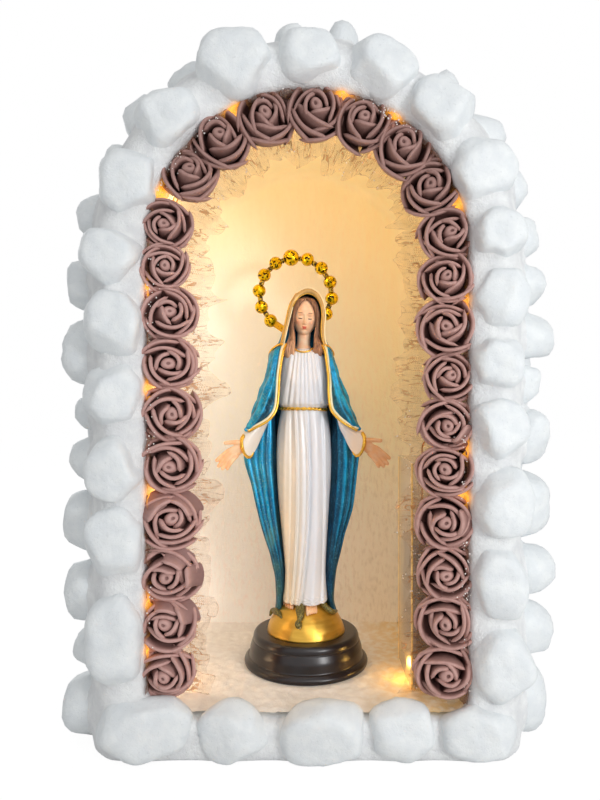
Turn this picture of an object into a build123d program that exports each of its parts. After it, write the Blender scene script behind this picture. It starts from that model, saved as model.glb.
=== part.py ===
from build123d import *
import os
from math import cos, hypot, pi, radians, sin, sqrt

# A tabletop grotto shrine. A plaster niche with a round head stands on a thick floor slab. White
# marble pebbles are bedded round its mouth and over its outer sides, foam roses are glued inside
# the mouth over tulle and a string of small lamps, and a painted resin figure stands inside.
# Millimetres. +Z is up, the mouth of the niche faces -Y, and the origin is on the underside of
# the floor slab, straight below the figure's axis.

# ---- shell -------------------------------------------------------------------------------------
NICHE_RADIUS = 101.0  # inside radius of the arch, and half the clear width of the niche
WALL = 31.0  # thickness of the side walls and of the arch
SHELL_DEPTH = 162.0  # front face to back face
BACK_THICKNESS = 12.0
FLOOR_THICKNESS = 30.0
SPRING_HEIGHT = 320.0  # where the arch springs, above the table
FIGURE_SETBACK = 81.0  # front face of the shell to the figure's axis

# ---- pebbles -----------------------------------------------------------------------------------
PEBBLE_SIDES = 11
PEBBLE_CLEARANCE = 0.6  # least height of a pebble's edge above the table
CROWN_SINK = 3.0  # how far a crown pebble's back is laid below the top of the arch, then scribed to it
SIDE_ROW_SETBACKS = (31.0, 80.0, 129.0)  # each row of side pebbles, behind the front face

# ---- garland -----------------------------------------------------------------------------------
GLUE_GAP = 0.3  # between a soft or glued piece and what carries it
ROSE_DEPTH = 25.0
ROSE_PROUD = 7.0  # how far a rose stands in front of the shell's front face
ROSE_STEM_SHARE = 0.5  # radius of a rose's back, as a share of its head's
TULLE_THICKNESS = 0.8
TULLE_WIDTH = 26.0
LAMP_WIRE_DIAMETER = 1.0
LAMP_DIAMETER = 4.0
LAMP_PITCH = 62.0
LAMP_WIRE_SETBACK = 34.0  # behind the front face of the shell

# ---- battery case ------------------------------------------------------------------------------
CASE_WIDTH = 25.0
CASE_DEPTH = 56.0
CASE_HEIGHT = 154.0
CASE_WALL = 1.5
PACK_WIDTH = 20.0
PACK_DEPTH = 48.0
PACK_HEIGHT = 96.0

# ---- figure ------------------------------------------------------------------------------------
PLINTH_RADIUS = 46.3
PLINTH_HEIGHT = 23.5
GLOBE_BASE_RADIUS = 29.2
GLOBE_HEIGHT = 24.0
GOWN_HEIGHT = 184.5  # from the top of the globe to the neckline
BELT_HEIGHT = 140.0  # from the top of the globe to the underside of the belt
BELT_WIDTH = 5.0
BELT_PROUD = 1.2
HEAD_RADIUS = 10.8
HEAD_LENGTH = 32.0
HAIR_THICKNESS = 1.8
NECK_RADIUS = 5.5
NECK_LENGTH = 14.0
HALO_RADIUS = 28.6
HALO_BEAD_DIAMETER = 10.2
HALO_LINK_DIAMETER = 4.0
HALO_BEADS = 12
HALO_TOP_BEAD = 5  # which bead is the large one, counted from the first
HALO_TOP_BEAD_DIAMETER = 12.6
HALO_BEHIND = 20.0  # the halo's plane behind the figure's axis
HALO_ASIDE = -8.0  # the halo's centre beside the figure's axis

# ---- places worked out from the sizes above ----------------------------------------------------
OUTER_RADIUS = NICHE_RADIUS + WALL
FRONT_Y = -FIGURE_SETBACK
BACK_Y = FRONT_Y + SHELL_DEPTH
PANEL_Y = BACK_Y - BACK_THICKNESS
PLINTH_TOP = FLOOR_THICKNESS + PLINTH_HEIGHT
GLOBE_TOP = PLINTH_TOP + GLOBE_HEIGHT
BIG = 2 * (SPRING_HEIGHT + OUTER_RADIUS)


# ---- helpers -----------------------------------------------------------------------------------
def front_plane(y):
    """A plane across the shrine at this y: its x is X, its y is Z, and its normal is -Y."""
    return Plane.XZ.offset(-y)


def block(x, y, z):
    """A box from its (low, high) on each axis."""
    low = Vector(x[0], y[0], z[0])
    size = Vector(x[1], y[1], z[1]) - low
    return Pos(*(low + size / 2)) * Box(size.X, size.Y, size.Z)


def ringed_solid(rings):
    """A closed solid with flat faces between rings of as many points each, capped at both ends."""
    faces = [Face(Wire.make_polygon(rings[0])), Face(Wire.make_polygon(rings[-1]))]
    count = len(rings[0])
    for lower, upper in zip(rings, rings[1:]):
        for i in range(count):
            j = (i + 1) % count
            faces.append(Face(Wire.make_polygon([lower[i], lower[j], upper[j], upper[i]])))
    return Solid(Shell(faces))


def elliptic_loft(sections):
    """A ruled solid through level ellipses, each (z, half width, half depth, y of its centre)."""
    outlines = []
    for z, half_width, half_depth, y in sections:
        outlines.append(Pos(0, y, z) * Ellipse(half_width, half_depth))
    return loft(outlines, ruled=True)


def largest(shape):
    return max(shape.solids(), key=lambda s: s.volume)


def group(solids):
    """Like pieces that share a node, as one compound of separate solids."""
    return Compound(children=[s for part in solids for s in part.solids()])


# ---- shell -------------------------------------------------------------------------------------
def arch_outline(radius, bottom):
    """The stilted arch: straight sides from bottom up to the spring line, and a half circle."""
    sides = Pos(0, (bottom + SPRING_HEIGHT) / 2) * Rectangle(2 * radius, SPRING_HEIGHT - bottom)
    head = Pos(0, SPRING_HEIGHT) * Circle(radius)
    return sides + head


def build_floor_slab():
    return block((-OUTER_RADIUS, OUTER_RADIUS), (FRONT_Y, PANEL_Y), (0, FLOOR_THICKNESS))


def build_side_wall(side):
    edges = sorted((side * NICHE_RADIUS, side * OUTER_RADIUS))
    return block(edges, (FRONT_Y, PANEL_Y), (FLOOR_THICKNESS, SPRING_HEIGHT))


def build_arch_vault():
    ring = Circle(OUTER_RADIUS) - Circle(NICHE_RADIUS)
    upper = Pos(0, OUTER_RADIUS / 2) * Rectangle(2 * OUTER_RADIUS, OUTER_RADIUS)
    section = front_plane(FRONT_Y) * Pos(0, SPRING_HEIGHT) * (ring & upper)
    return extrude(section, -(PANEL_Y - FRONT_Y))


def build_back_panel():
    return extrude(front_plane(PANEL_Y) * arch_outline(OUTER_RADIUS, 0), -BACK_THICKNESS)


# ---- pebbles -----------------------------------------------------------------------------------
# A pebble's girth, seen from its flat back to its top: (share of its thickness, share of its outline).
PEBBLE_PROFILE = ((0.0, 0.86), (0.32, 1.0), (0.66, 0.86), (0.9, 0.55), (1.0, 0.26))


def pebble(bed, along, across, thickness, character, turn=0.0):
    """A pebble on a bed: a plane whose x runs along the row, and whose normal points outward.

    It measures along by across, turned by turn degrees within that. character is any number: it
    sets how the corners vary, how square the outline is and which way the top leans.
    """
    twist = radians(turn)
    corners = []
    for i in range(PEBBLE_SIDES):
        angle = 2 * pi * (i + 0.5 * sin(character)) / PEBBLE_SIDES
        uneven = 1 - 0.055 * (1 + sin(character * 3.1 + 2.2 * i))
        square = 1 + 0.075 * (1 - cos(4 * angle)) * (0.4 + 0.6 * sin(character * 1.7) ** 2)
        u, v = along * uneven * square * cos(angle), across * uneven * square * sin(angle)
        corners.append((u * cos(twist) - v * sin(twist), u * sin(twist) + v * cos(twist)))
    widest = max(abs(u) for u, _ in corners)
    tallest = max(abs(v) for _, v in corners)
    lean_u, lean_v = 0.09 * sin(character * 5.3), 0.09 * cos(character * 4.1)
    rings = []
    for height, girth in PEBBLE_PROFILE:
        ring = []
        for u, v in corners:
            u = along / 2 * (u / widest * girth + lean_u * height * (1 - girth))
            v = across / 2 * (v / tallest * girth + lean_v * height * (1 - girth))
            ring.append(bed.from_local_coords((u, v, height * thickness)))
        rings.append(ring)
    return ringed_solid(rings)


RIM_SETBACK = 1.0  # from the edge of the niche to a rim pebble

# Rim pebbles stand on the front face. Beside the niche: height above the table, length along the
# wall, width across it, thickness, and turn in degrees.
LEFT_RIM = (
    (77.5, 61, 36, 19, 0),
    (137, 46, 38, 18, 14),
    (184, 42, 36, 19, -12),
    (230, 41, 38, 18, 0),
    (273, 42, 37, 19, 18),
    (314.5, 38.5, 40, 20, -22),
)
RIGHT_RIM = (
    (62.5, 49, 40, 19, -8),
    (112.5, 44, 36, 18, 10),
    (162.5, 45, 38, 20, 0),
    (209, 40, 36, 18, 12),
    (249.5, 33, 33, 18, 0),
    (289.5, 38, 37, 17, -14),
    (330, 33, 34, 17, 0),
)
# Round the arch: angle from the spring line on the +X side, degrees of arch covered, width
# across, thickness, and turn.
ARCH_RIM = (
    (24.5, 17.8, 37, 18, 0),
    (45.5, 20.0, 39, 20, 14),
    (67.5, 21.0, 37, 19, -10),
    (89.5, 19.5, 35, 18, 0),
    (112.0, 22.5, 43, 21, 16),
    (137.0, 19.5, 36, 18, -14),
    (159.5, 20.0, 36, 17, 0),
)
# Along the sill, in front of the floor slab: x as a share of the half width, length, height,
# thickness, and turn.
SILL = (
    (-0.765, 62, 42, 20, 6),
    (-0.345, 45, 40, 18, -12),
    (0.06, 54, 40, 20, 4),
    (0.445, 41, 40, 18, 0),
    (0.80, 49, 38, 19, -6),
)
# Side pebbles stand on the outer faces in three rows, front to back. The front row's are given:
# height above the table, length up the wall, and thickness.
LEFT_SIDE = (
    (22, 42, 30),
    (60, 30, 23),
    (99, 40, 29),
    (145, 44, 31),
    (186, 33, 25),
    (218, 26, 24),
    (258, 46, 30),
    (302, 34, 28),
)
RIGHT_SIDE = (
    (27, 50, 27),
    (74, 38, 32),
    (113, 34, 34),
    (156, 46, 31),
    (201, 38, 28),
    (237, 28, 25),
    (269, 32, 31),
    (303, 31, 27),
)
# Round the outside of the arch: angle, degrees of arch covered, and thickness.
CROWN = (
    (5.5, 12.5, 25),
    (19.5, 13.0, 22),
    (35, 15.5, 27),
    (51, 14.0, 24),
    (66.5, 14.0, 25),
    (80.8, 12.5, 25),
    (94, 12.0, 26),
    (107.5, 12.5, 23),
    (123, 16.0, 24),
    (139, 14.0, 26),
    (153.5, 13.0, 22),
    (168, 14.0, 25),
)
SIDE_PEBBLE_WIDTH = 45.0  # of a side or crown pebble, front to back

# The heights and lengths beside the niche are for a spring height of 320, and stretch with it: those
# of the side pebbles from the table up, and those of the rim pebbles and roses from the sill's top.
STRETCH = SPRING_HEIGHT / 320.0
SILL_TOP = max(height for _, _, height, _, _ in SILL)
RIM_STRETCH = (SPRING_HEIGHT - SILL_TOP) / (320.0 - SILL_TOP)


def above_sill(height):
    return SILL_TOP + (height - SILL_TOP) * RIM_STRETCH


def rim_bed(x, z, lie):
    """The bed of a pebble on the front face, at (x, z). lie is the angle of its length to X."""
    along = Vector(cos(radians(lie)), 0, sin(radians(lie)))
    return Plane(origin=(x, FRONT_Y, z), x_dir=along, z_dir=(0, -1, 0))


def build_rim_side(side, rows):
    stones = []
    for i, (height, length, across, thickness, turn) in enumerate(rows):
        x = side * (NICHE_RADIUS + RIM_SETBACK + across / 2)
        bed = rim_bed(x, above_sill(height), 90)
        character = 1.3 + side + 2.7 * i
        stones.append(pebble(bed, length * RIM_STRETCH, across, thickness, character, turn))
    return group(stones)


def build_rim_arch():
    stones = []
    for i, (angle, span, across, thickness, turn) in enumerate(ARCH_RIM):
        radius = NICHE_RADIUS + RIM_SETBACK + across / 2
        x, z = radius * cos(radians(angle)), SPRING_HEIGHT + radius * sin(radians(angle))
        bed = rim_bed(x, z, angle + 90)
        stones.append(pebble(bed, radians(span) * radius, across, thickness, 0.8 + 1.9 * i, turn))
    return group(stones)


def on_table(stone):
    """The stone, raised if need be so that it clears the table."""
    return Pos(0, 0, max(0.0, PEBBLE_CLEARANCE - stone.bounding_box().min.Z)) * stone


def build_sill():
    stones = []
    for i, (share, along, height, thickness, turn) in enumerate(SILL):
        bed = rim_bed(share * OUTER_RADIUS, height / 2, 0)
        stones.append(on_table(pebble(bed, along, height, thickness, 2.2 + 1.3 * i, turn)))
    return group(stones)


def later_row(sizes, row):
    """The pebbles of a side row, from the front one's (place, length, thickness).

    The middle row sits over the joints of the front one, and the rows behind take their sizes in
    the opposite order.
    """
    if row == 0:
        return sizes
    places = [place for place, _, _ in sizes]
    if row == 1:
        places = [(a + b) / 2 for a, b in zip(places, places[1:])]
    pebbles = []
    for i, (place, (_, length, thickness)) in enumerate(zip(places, reversed(sizes))):
        nearest = min(abs(place - other) for j, other in enumerate(places) if j != i)
        pebbles.append((place, min(length, 0.93 * nearest), thickness))
    return pebbles


def build_side_pebbles(side, front_row):
    stones = []
    sizes = [(height * STRETCH, length * STRETCH, thick) for height, length, thick in front_row]
    for row, setback in enumerate(SIDE_ROW_SETBACKS):
        for i, (z, along, thickness) in enumerate(later_row(sizes, row)):
            bed = Plane(
                origin=(side * OUTER_RADIUS, FRONT_Y + setback, z),
                x_dir=(0, 0, 1),
                z_dir=(side, 0, 0),
            )
            width = SIDE_PEBBLE_WIDTH * (0.9 + 0.1 * sin(3.7 * i + row))
            stones.append(on_table(pebble(bed, along, width, thickness, 0.4 + side + 2.3 * i + row)))
    return group(stones)


def build_crown_pebbles():
    barrel = extrude(
        front_plane(FRONT_Y - 1) * Pos(0, SPRING_HEIGHT) * Circle(OUTER_RADIUS),
        -(SHELL_DEPTH + 2),
    )
    stones = []
    for row, setback in enumerate(SIDE_ROW_SETBACKS):
        for i, (angle, span, thickness) in enumerate(later_row(CROWN, row)):
            outward = Vector(cos(radians(angle)), 0, sin(radians(angle)))
            foot = outward * (OUTER_RADIUS - CROWN_SINK)
            bed = Plane(
                origin=(foot.X, FRONT_Y + setback, SPRING_HEIGHT + foot.Z),
                x_dir=(-outward.Z, 0, outward.X),
                z_dir=outward,
            )
            along = radians(span) * OUTER_RADIUS
            width = SIDE_PEBBLE_WIDTH * (0.9 + 0.1 * sin(2.9 * i + row))
            stone = pebble(bed, along, width, thickness + CROWN_SINK, 1.1 + 1.7 * i + row)
            stones.append(stone - barrel)
    return group(stones)


# ---- garland -----------------------------------------------------------------------------------
# Roses in order round the mouth. Beside the niche: heights above the table. Round the arch: angles
# from the spring line on the +X side.
LEFT_ROSES = (54, 84, 116, 150, 184.5, 217.5, 249, 280.5, 310)
ARCH_ROSES = (169.5, 147.5, 128, 108, 87, 66.5, 46.5, 27, 7)
RIGHT_ROSES = (302, 271.5, 240.5, 211, 181.5, 149, 117, 86.5, 54)
ROSE_RADIUS = 15.8  # of a rose that its neighbours leave room for


def rose_places():
    """Each rose's (direction, height, radius): direction is the angle out to its patch of wall."""
    line = [(180.0, above_sill(z)) for z in LEFT_ROSES]
    line += [(float(angle), SPRING_HEIGHT) for angle in ARCH_ROSES]
    line += [(0.0, above_sill(z)) for z in RIGHT_ROSES]
    reach = NICHE_RADIUS - GLUE_GAP - ROSE_RADIUS
    centres = [
        (reach * cos(radians(angle)), z + reach * sin(radians(angle))) for angle, z in line
    ]
    apart = [hypot(a[0] - b[0], a[1] - b[1]) for a, b in zip(centres, centres[1:])]
    places = []
    for i, (angle, z) in enumerate(line):
        nearest = min(apart[max(0, i - 1) : i + 1])
        places.append((angle, z, min(ROSE_RADIUS, nearest / 2 - GLUE_GAP)))
    return places


def rose(direction, height, radius):
    """A rose's outer form, facing the front: a cone from its glued back to its full head."""
    reach = NICHE_RADIUS - GLUE_GAP - radius
    x, z = reach * cos(radians(direction)), height + reach * sin(radians(direction))
    outlines = []
    for depth, share in ((1.0, ROSE_STEM_SHARE), (0.45, 1.0), (0.15, 1.0), (0.0, 0.75)):
        plane = front_plane(FRONT_Y - ROSE_PROUD + depth * ROSE_DEPTH)
        outlines.append(plane * Pos(x, z) * Circle(share * radius))
    return loft(outlines, ruled=True)


def build_roses(first, last):
    return group([rose(*place) for place in rose_places()[first:last]])


def build_tulle():
    """The gathered tulle, as a thin band that lines the mouth of the niche behind the roses."""
    outer = NICHE_RADIUS - GLUE_GAP
    band = arch_outline(outer, FLOOR_THICKNESS + GLUE_GAP) - arch_outline(
        outer - TULLE_THICKNESS, FLOOR_THICKNESS + GLUE_GAP - 1
    )
    y = FRONT_Y - ROSE_PROUD + ROSE_DEPTH + GLUE_GAP
    return extrude(front_plane(y) * band, -TULLE_WIDTH)


LAMP_REACH = NICHE_RADIUS - 2 * GLUE_GAP - TULLE_THICKNESS - LAMP_DIAMETER / 2
LAMP_Y = FRONT_Y + LAMP_WIRE_SETBACK
CASE_HIGH_X = LAMP_REACH - LAMP_DIAMETER / 2 - GLUE_GAP
CASE_LOW_X = CASE_HIGH_X - CASE_WIDTH
CASE_LOW_Y = LAMP_Y - 6.0
PACK_X = (CASE_LOW_X + CASE_HIGH_X) / 2
PACK_Y = CASE_LOW_Y + CASE_DEPTH / 2
PACK_TOP = FLOOR_THICKNESS + CASE_WALL + PACK_HEIGHT
LEAD_TOP = FLOOR_THICKNESS + CASE_HEIGHT + 10.0
LEAD_RADIUS = 7.0
WIRE_FOOT = FLOOR_THICKNESS + 12.0  # where the wire ends, low on the left wall


def lamp_wire_path():
    """Up out of the battery pack, over to the right wall, round the arch and down the left wall."""
    lead = FilletPolyline(
        (PACK_X, PACK_Y, PACK_TOP),
        (PACK_X, PACK_Y, LEAD_TOP),
        (LAMP_REACH, LAMP_Y, LEAD_TOP + 22),
        (LAMP_REACH, LAMP_Y, LEAD_TOP + 60),
        radius=LEAD_RADIUS,
    )
    rise = Line((LAMP_REACH, LAMP_Y, LEAD_TOP + 60), (LAMP_REACH, LAMP_Y, SPRING_HEIGHT))
    top = ThreePointArc(
        (LAMP_REACH, LAMP_Y, SPRING_HEIGHT),
        (0, LAMP_Y, SPRING_HEIGHT + LAMP_REACH),
        (-LAMP_REACH, LAMP_Y, SPRING_HEIGHT),
    )
    fall = Line((-LAMP_REACH, LAMP_Y, SPRING_HEIGHT), (-LAMP_REACH, LAMP_Y, WIRE_FOOT))
    return Wire([*lead.edges(), rise.edge(), top.edge(), fall.edge()])


def lamp_places():
    """Lamp centres at an even pitch from the wire's foot, up the left, over, and down the right."""
    rise = SPRING_HEIGHT - WIRE_FOOT
    over = pi * LAMP_REACH
    last = rise + over + SPRING_HEIGHT - (LEAD_TOP + 60)
    places = []
    run = LAMP_DIAMETER
    while run < last:
        if run < rise:
            places.append((-LAMP_REACH, WIRE_FOOT + run))
        elif run < rise + over:
            angle = pi - (run - rise) / LAMP_REACH
            places.append((LAMP_REACH * cos(angle), SPRING_HEIGHT + LAMP_REACH * sin(angle)))
        else:
            places.append((LAMP_REACH, SPRING_HEIGHT - (run - rise - over)))
        run += LAMP_PITCH
    return places


def build_lamps():
    return group([Pos(x, LAMP_Y, z) * Sphere(LAMP_DIAMETER / 2) for x, z in lamp_places()])


def build_lamp_wire(lamps):
    path = lamp_wire_path()
    start = Plane(origin=path @ 0, z_dir=path % 0)
    wire = sweep(start * Circle(LAMP_WIRE_DIAMETER / 2), path=path)
    return wire - lamps


def build_battery_case():
    outside = block(
        (CASE_LOW_X, CASE_HIGH_X),
        (CASE_LOW_Y, CASE_LOW_Y + CASE_DEPTH),
        (FLOOR_THICKNESS, FLOOR_THICKNESS + CASE_HEIGHT),
    )
    inside = block(
        (CASE_LOW_X + CASE_WALL, CASE_HIGH_X - CASE_WALL),
        (CASE_LOW_Y + CASE_WALL, CASE_LOW_Y + CASE_DEPTH - CASE_WALL),
        (FLOOR_THICKNESS + CASE_WALL, FLOOR_THICKNESS + CASE_HEIGHT + 1),
    )
    return outside - inside


def build_battery_pack():
    body = block(
        (PACK_X - PACK_WIDTH / 2, PACK_X + PACK_WIDTH / 2),
        (PACK_Y - PACK_DEPTH / 2, PACK_Y + PACK_DEPTH / 2),
        (FLOOR_THICKNESS + CASE_WALL, PACK_TOP),
    )
    return fillet(body.edges().filter_by(Axis.Z), 3.0)


# ---- figure ------------------------------------------------------------------------------------
def build_plinth():
    """A turned plinth: a foot, a tapering drum and a rounded cap, with a groove between each."""
    r, z, h = PLINTH_RADIUS, FLOOR_THICKNESS, PLINTH_HEIGHT
    groove = 0.7
    outline = [
        (0, z),
        (r - 1.0, z),
        (r, z + 1.5),
        (r, z + 0.16 * h),
        (r - 1.6, z + 0.24 * h),
        (r - 2.9, z + 0.27 * h),
        (r - 2.9 - groove, z + 0.29 * h),
        (r - 2.4, z + 0.31 * h),
        (r - 3.2, z + 0.5 * h),
        (r - 5.6, z + 0.78 * h),
        (r - 6.4 - groove, z + 0.81 * h),
        (r - 6.2, z + 0.83 * h),
        (r - 6.6, z + 0.93 * h),
        (r - 8.0, z + h),
        (0, z + h),
    ]
    face = Plane.XZ * make_face(Polyline(*outline, close=True))
    return revolve(face, Axis.Z)


GLOBE_SPHERE = (GLOBE_BASE_RADIUS**2 + GLOBE_HEIGHT**2) / (2 * GLOBE_HEIGHT)
GLOBE_CENTRE_Z = GLOBE_TOP - GLOBE_SPHERE


def build_globe():
    ball = Pos(0, 0, GLOBE_CENTRE_Z) * Sphere(GLOBE_SPHERE)
    return ball & block((-BIG, BIG), (-BIG, BIG), (PLINTH_TOP, BIG))


HEM_Z = GLOBE_TOP - 0.5
NECKLINE_Z = GLOBE_TOP + GOWN_HEIGHT
BELT_Z = GLOBE_TOP + BELT_HEIGHT
BELT_SECTION = (17.5, 13.5)


def build_gown(globe):
    sections = [
        (HEM_Z, 17.2, 15.0, 0),
        (HEM_Z + 0.45 * BELT_HEIGHT, 18.2, 15.0, 0),
        (BELT_Z - 1, *BELT_SECTION, 0),
        (BELT_Z + BELT_WIDTH + 1, *BELT_SECTION, 0),
        (NECKLINE_Z - 20, 18.6, 14.4, 0),
        (NECKLINE_Z - 7, 14.0, 10.5, 0),
        (NECKLINE_Z, 8.4, 7.6, 0),
    ]
    return elliptic_loft(sections) - globe


def build_belt():
    half_width, half_depth = BELT_SECTION
    ring = Ellipse(half_width + BELT_PROUD, half_depth + BELT_PROUD) - Ellipse(half_width, half_depth)
    return extrude(Pos(0, 0, BELT_Z) * ring, BELT_WIDTH)


CHIN_Z = NECKLINE_Z + 0.8 * NECK_LENGTH
CROWN_Z = CHIN_Z + HEAD_LENGTH


def egg(radius, bottom, top, shoulder=0.6):
    """A head's form: a solid of revolution, fullest at shoulder of its height."""
    height = top - bottom
    middle = bottom + shoulder * height
    edge = Spline(
        (0, bottom),
        (0.62 * radius, bottom + 0.13 * height),
        (radius, middle),
        (0.72 * radius, top - 0.13 * height),
        (0, top),
        tangents=[(1, 0.15), (-1, 0.1)],
    )
    face = Plane.XZ * make_face(edge + Line((0, top), (0, bottom)))
    return revolve(face, Axis.Z)


def build_head():
    skull = egg(HEAD_RADIUS, CHIN_Z, CROWN_Z)
    neck = Pos(0, 0, NECKLINE_Z) * Cylinder(
        NECK_RADIUS, NECK_LENGTH, align=(Align.CENTER, Align.CENTER, Align.MIN)
    )
    return skull + neck


HAIR_FOOT_Z = NECKLINE_Z - 9.0


def build_hair(head, gown):
    """Hair over the back of the head, with a lock down each side of the neck to the breast."""
    outer = HEAD_RADIUS + HAIR_THICKNESS
    sections = [
        (HAIR_FOOT_Z, outer + 2.0, 10.5, 0),
        (NECKLINE_Z, outer + 0.6, 11.0, 0),
        (CHIN_Z + 0.6 * HEAD_LENGTH, outer, outer - 0.01, 0),
        (CROWN_Z - 4, 0.84 * outer, 0.84 * outer - 0.01, 0),
        (CROWN_Z + HAIR_THICKNESS, 4.0, 3.99, 0),
    ]
    face_opening = block((-8.0, 8.0), (-BIG, 1.0), (HAIR_FOOT_Z - 1, CROWN_Z - 4))
    back_of_locks = block((-BIG, BIG), (2.0, BIG), (HAIR_FOOT_Z - 1, NECKLINE_Z))
    return largest(elliptic_loft(sections) - head - gown - face_opening - back_of_locks)


def limb(start, end, start_radius, end_radius):
    """A round tapering piece from one point to another."""
    axis = Vector(*end) - Vector(*start)
    first = Plane(origin=start, z_dir=axis) * Circle(start_radius)
    last = Plane(origin=end, z_dir=axis) * Circle(end_radius)
    return loft([first, last], ruled=True)


ELBOW = (27.0, -4.0, GLOBE_TOP + 138.0)
WRIST = (40.0, -13.5, GLOBE_TOP + 115.5)
FINGERTIP = (62.0, -21.0, GLOBE_TOP + 104.0)
CUFF_LENGTH = 2.4


def on_side(side, point):
    return (side * point[0], point[1], point[2])


def build_sleeve(side, gown, belt):
    return limb(on_side(side, ELBOW), on_side(side, WRIST), 5.5, 8.2) - gown - belt


def build_cuff(side):
    wrist = Vector(*on_side(side, WRIST))
    along = (wrist - Vector(*on_side(side, ELBOW))).normalized()
    return limb(tuple(wrist), tuple(wrist + along * CUFF_LENGTH), 8.8, 8.8)


def build_hand(side, cuff, sleeve):
    """An open hand: wrist, palm and fingers, as a flat tapering form that leaves the cuff."""
    wrist, tip = Vector(*on_side(side, WRIST)), Vector(*on_side(side, FINGERTIP))
    along = tip - wrist
    palm_faces = Vector(0, -1, 0.35)
    outlines = []
    for share, width, thickness in ((0.0, 6.5, 5.5), (0.3, 10.5, 5.0), (0.6, 11.0, 4.0), (1.0, 7.5, 2.6)):
        across = palm_faces.cross(along)
        station = Plane(origin=wrist + along * share, x_dir=across, z_dir=along)
        outlines.append(station * Rectangle(width, thickness))
    hand = loft(outlines, ruled=True) - cuff - sleeve
    return largest(hand)


def build_mantle(cutters):
    """The mantle: over the head and shoulders, out over both forearms, and down the back."""
    g = GLOBE_TOP
    sections = [
        (HEM_Z, 21.5, 17.0, 4),
        (g + 20, 23.5, 18.5, 4),
        (g + 48, 30.5, 20.0, 4),
        (g + 74, 36.0, 20.0, 4),
        (g + 105, 42.4, 19.0, 3),
        (g + 123, 41.0, 18.5, 3),
        (g + 149, 34.8, 17.5, 2),
        (g + 168, 27.5, 17.0, 1),
        (g + 181, 24.0, 16.0, 1),
        (g + 189, 18.0, 15.5, 1),
        (g + 209, 14.6, 14.5, 0.8),
        (g + 225, 11.0, 10.99, 0.8),
        (g + 232.5, 3.0, 2.99, 0.8),
    ]
    cloth = elliptic_loft(sections)
    below_arms = block((-BIG, BIG), (-BIG, -2.0), (0, g + 118))
    breast = block((-17.5, 17.5), (-BIG, 0.0), (g + 117, NECKLINE_Z - 4))
    face_opening = block((-10.2, 10.2), (-BIG, 0.0), (NECKLINE_Z - 5, CROWN_Z - 1))
    for cutter in (below_arms, breast, face_opening, *cutters):
        cloth = cloth - cutter
    return largest(cloth)


def on_globe(azimuth, share):
    """A point of the globe's surface: azimuth from -Y towards +X, and share of the globe's height."""
    z = PLINTH_TOP + share * GLOBE_HEIGHT
    ring = sqrt(GLOBE_SPHERE**2 - (z - GLOBE_CENTRE_Z) ** 2)
    return (ring * sin(radians(azimuth)), -ring * cos(radians(azimuth)), z)


def build_serpent(globe, gown, mantle):
    """The serpent's three lengths that show from under the hem: tail, head and body."""
    lengths = (
        (on_globe(-96, 0.645), on_globe(-52, 0.605), 1.2, 2.2),
        (on_globe(-12, 0.895), on_globe(-9, 0.46), 3.2, 2.6),
        (on_globe(33, 0.915), on_globe(62, 0.81), 2.0, 2.4),
    )
    pieces = []
    for start, end, start_radius, end_radius in lengths:
        length = limb(start, end, start_radius, end_radius) - globe - gown - mantle
        pieces.append(largest(length))
    return group(pieces)


def build_feet(globe, gown, serpent):
    """The toes of both feet, resting on the globe in front of the hem."""
    pieces = []
    for azimuth in (-38, 12):
        toe = limb(on_globe(azimuth, 0.94), on_globe(azimuth, 0.775), 3.4, 3.0)
        pieces.append(largest(toe - globe - gown - serpent))
    return group(pieces)


HALO_FIRST = 227.0  # angle of the lowest bead on the left
HALO_STEP = -26.0
HALO_Z = GLOBE_TOP + 231.5


def halo_point(angle):
    return Vector(
        HALO_ASIDE + HALO_RADIUS * cos(radians(angle)),
        HALO_BEHIND,
        HALO_Z + HALO_RADIUS * sin(radians(angle)),
    )


def halo_angles():
    return [HALO_FIRST + HALO_STEP * i for i in range(HALO_BEADS)]


def halo_bead_radius(number):
    return (HALO_TOP_BEAD_DIAMETER if number == HALO_TOP_BEAD else HALO_BEAD_DIAMETER) / 2


def build_halo_beads():
    angles = halo_angles()
    return group([Pos(*halo_point(a)) * Sphere(halo_bead_radius(i)) for i, a in enumerate(angles)])


def build_halo_links():
    """The dark spacers that fill the room between one bead and the next."""
    angles = halo_angles()
    radius = HALO_LINK_DIAMETER / 2
    links = []
    for i, (a, b) in enumerate(zip(angles, angles[1:])):
        start, end = halo_point(a), halo_point(b)
        way = (end - start).normalized()
        start, end = start + way * halo_bead_radius(i), end - way * halo_bead_radius(i + 1)
        links.append(limb(tuple(start), tuple(end), radius, radius))
    return group(links)


def build_halo_ends(beads, mantle):
    """The flat gilt ends of the halo, which reach from its first and last beads to the hood."""
    angles = halo_angles()
    ends = []
    for angle, hold in ((angles[0], (-9.0, 11.0, HALO_Z - 34)), (angles[-1], (5.0, 11.0, HALO_Z - 30))):
        start = halo_point(angle)
        reach = Vector(*hold) - start
        strip = Plane(origin=start, x_dir=Vector(0, 0, 1).cross(reach), z_dir=reach) * Box(
            2.4, 5.0, reach.length, align=(Align.CENTER, Align.CENTER, Align.MIN)
        )
        pieces = (strip - beads - mantle).solids()
        ends.append(min(pieces, key=lambda s: (s.center() - start).length))
    return group(ends)


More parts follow.
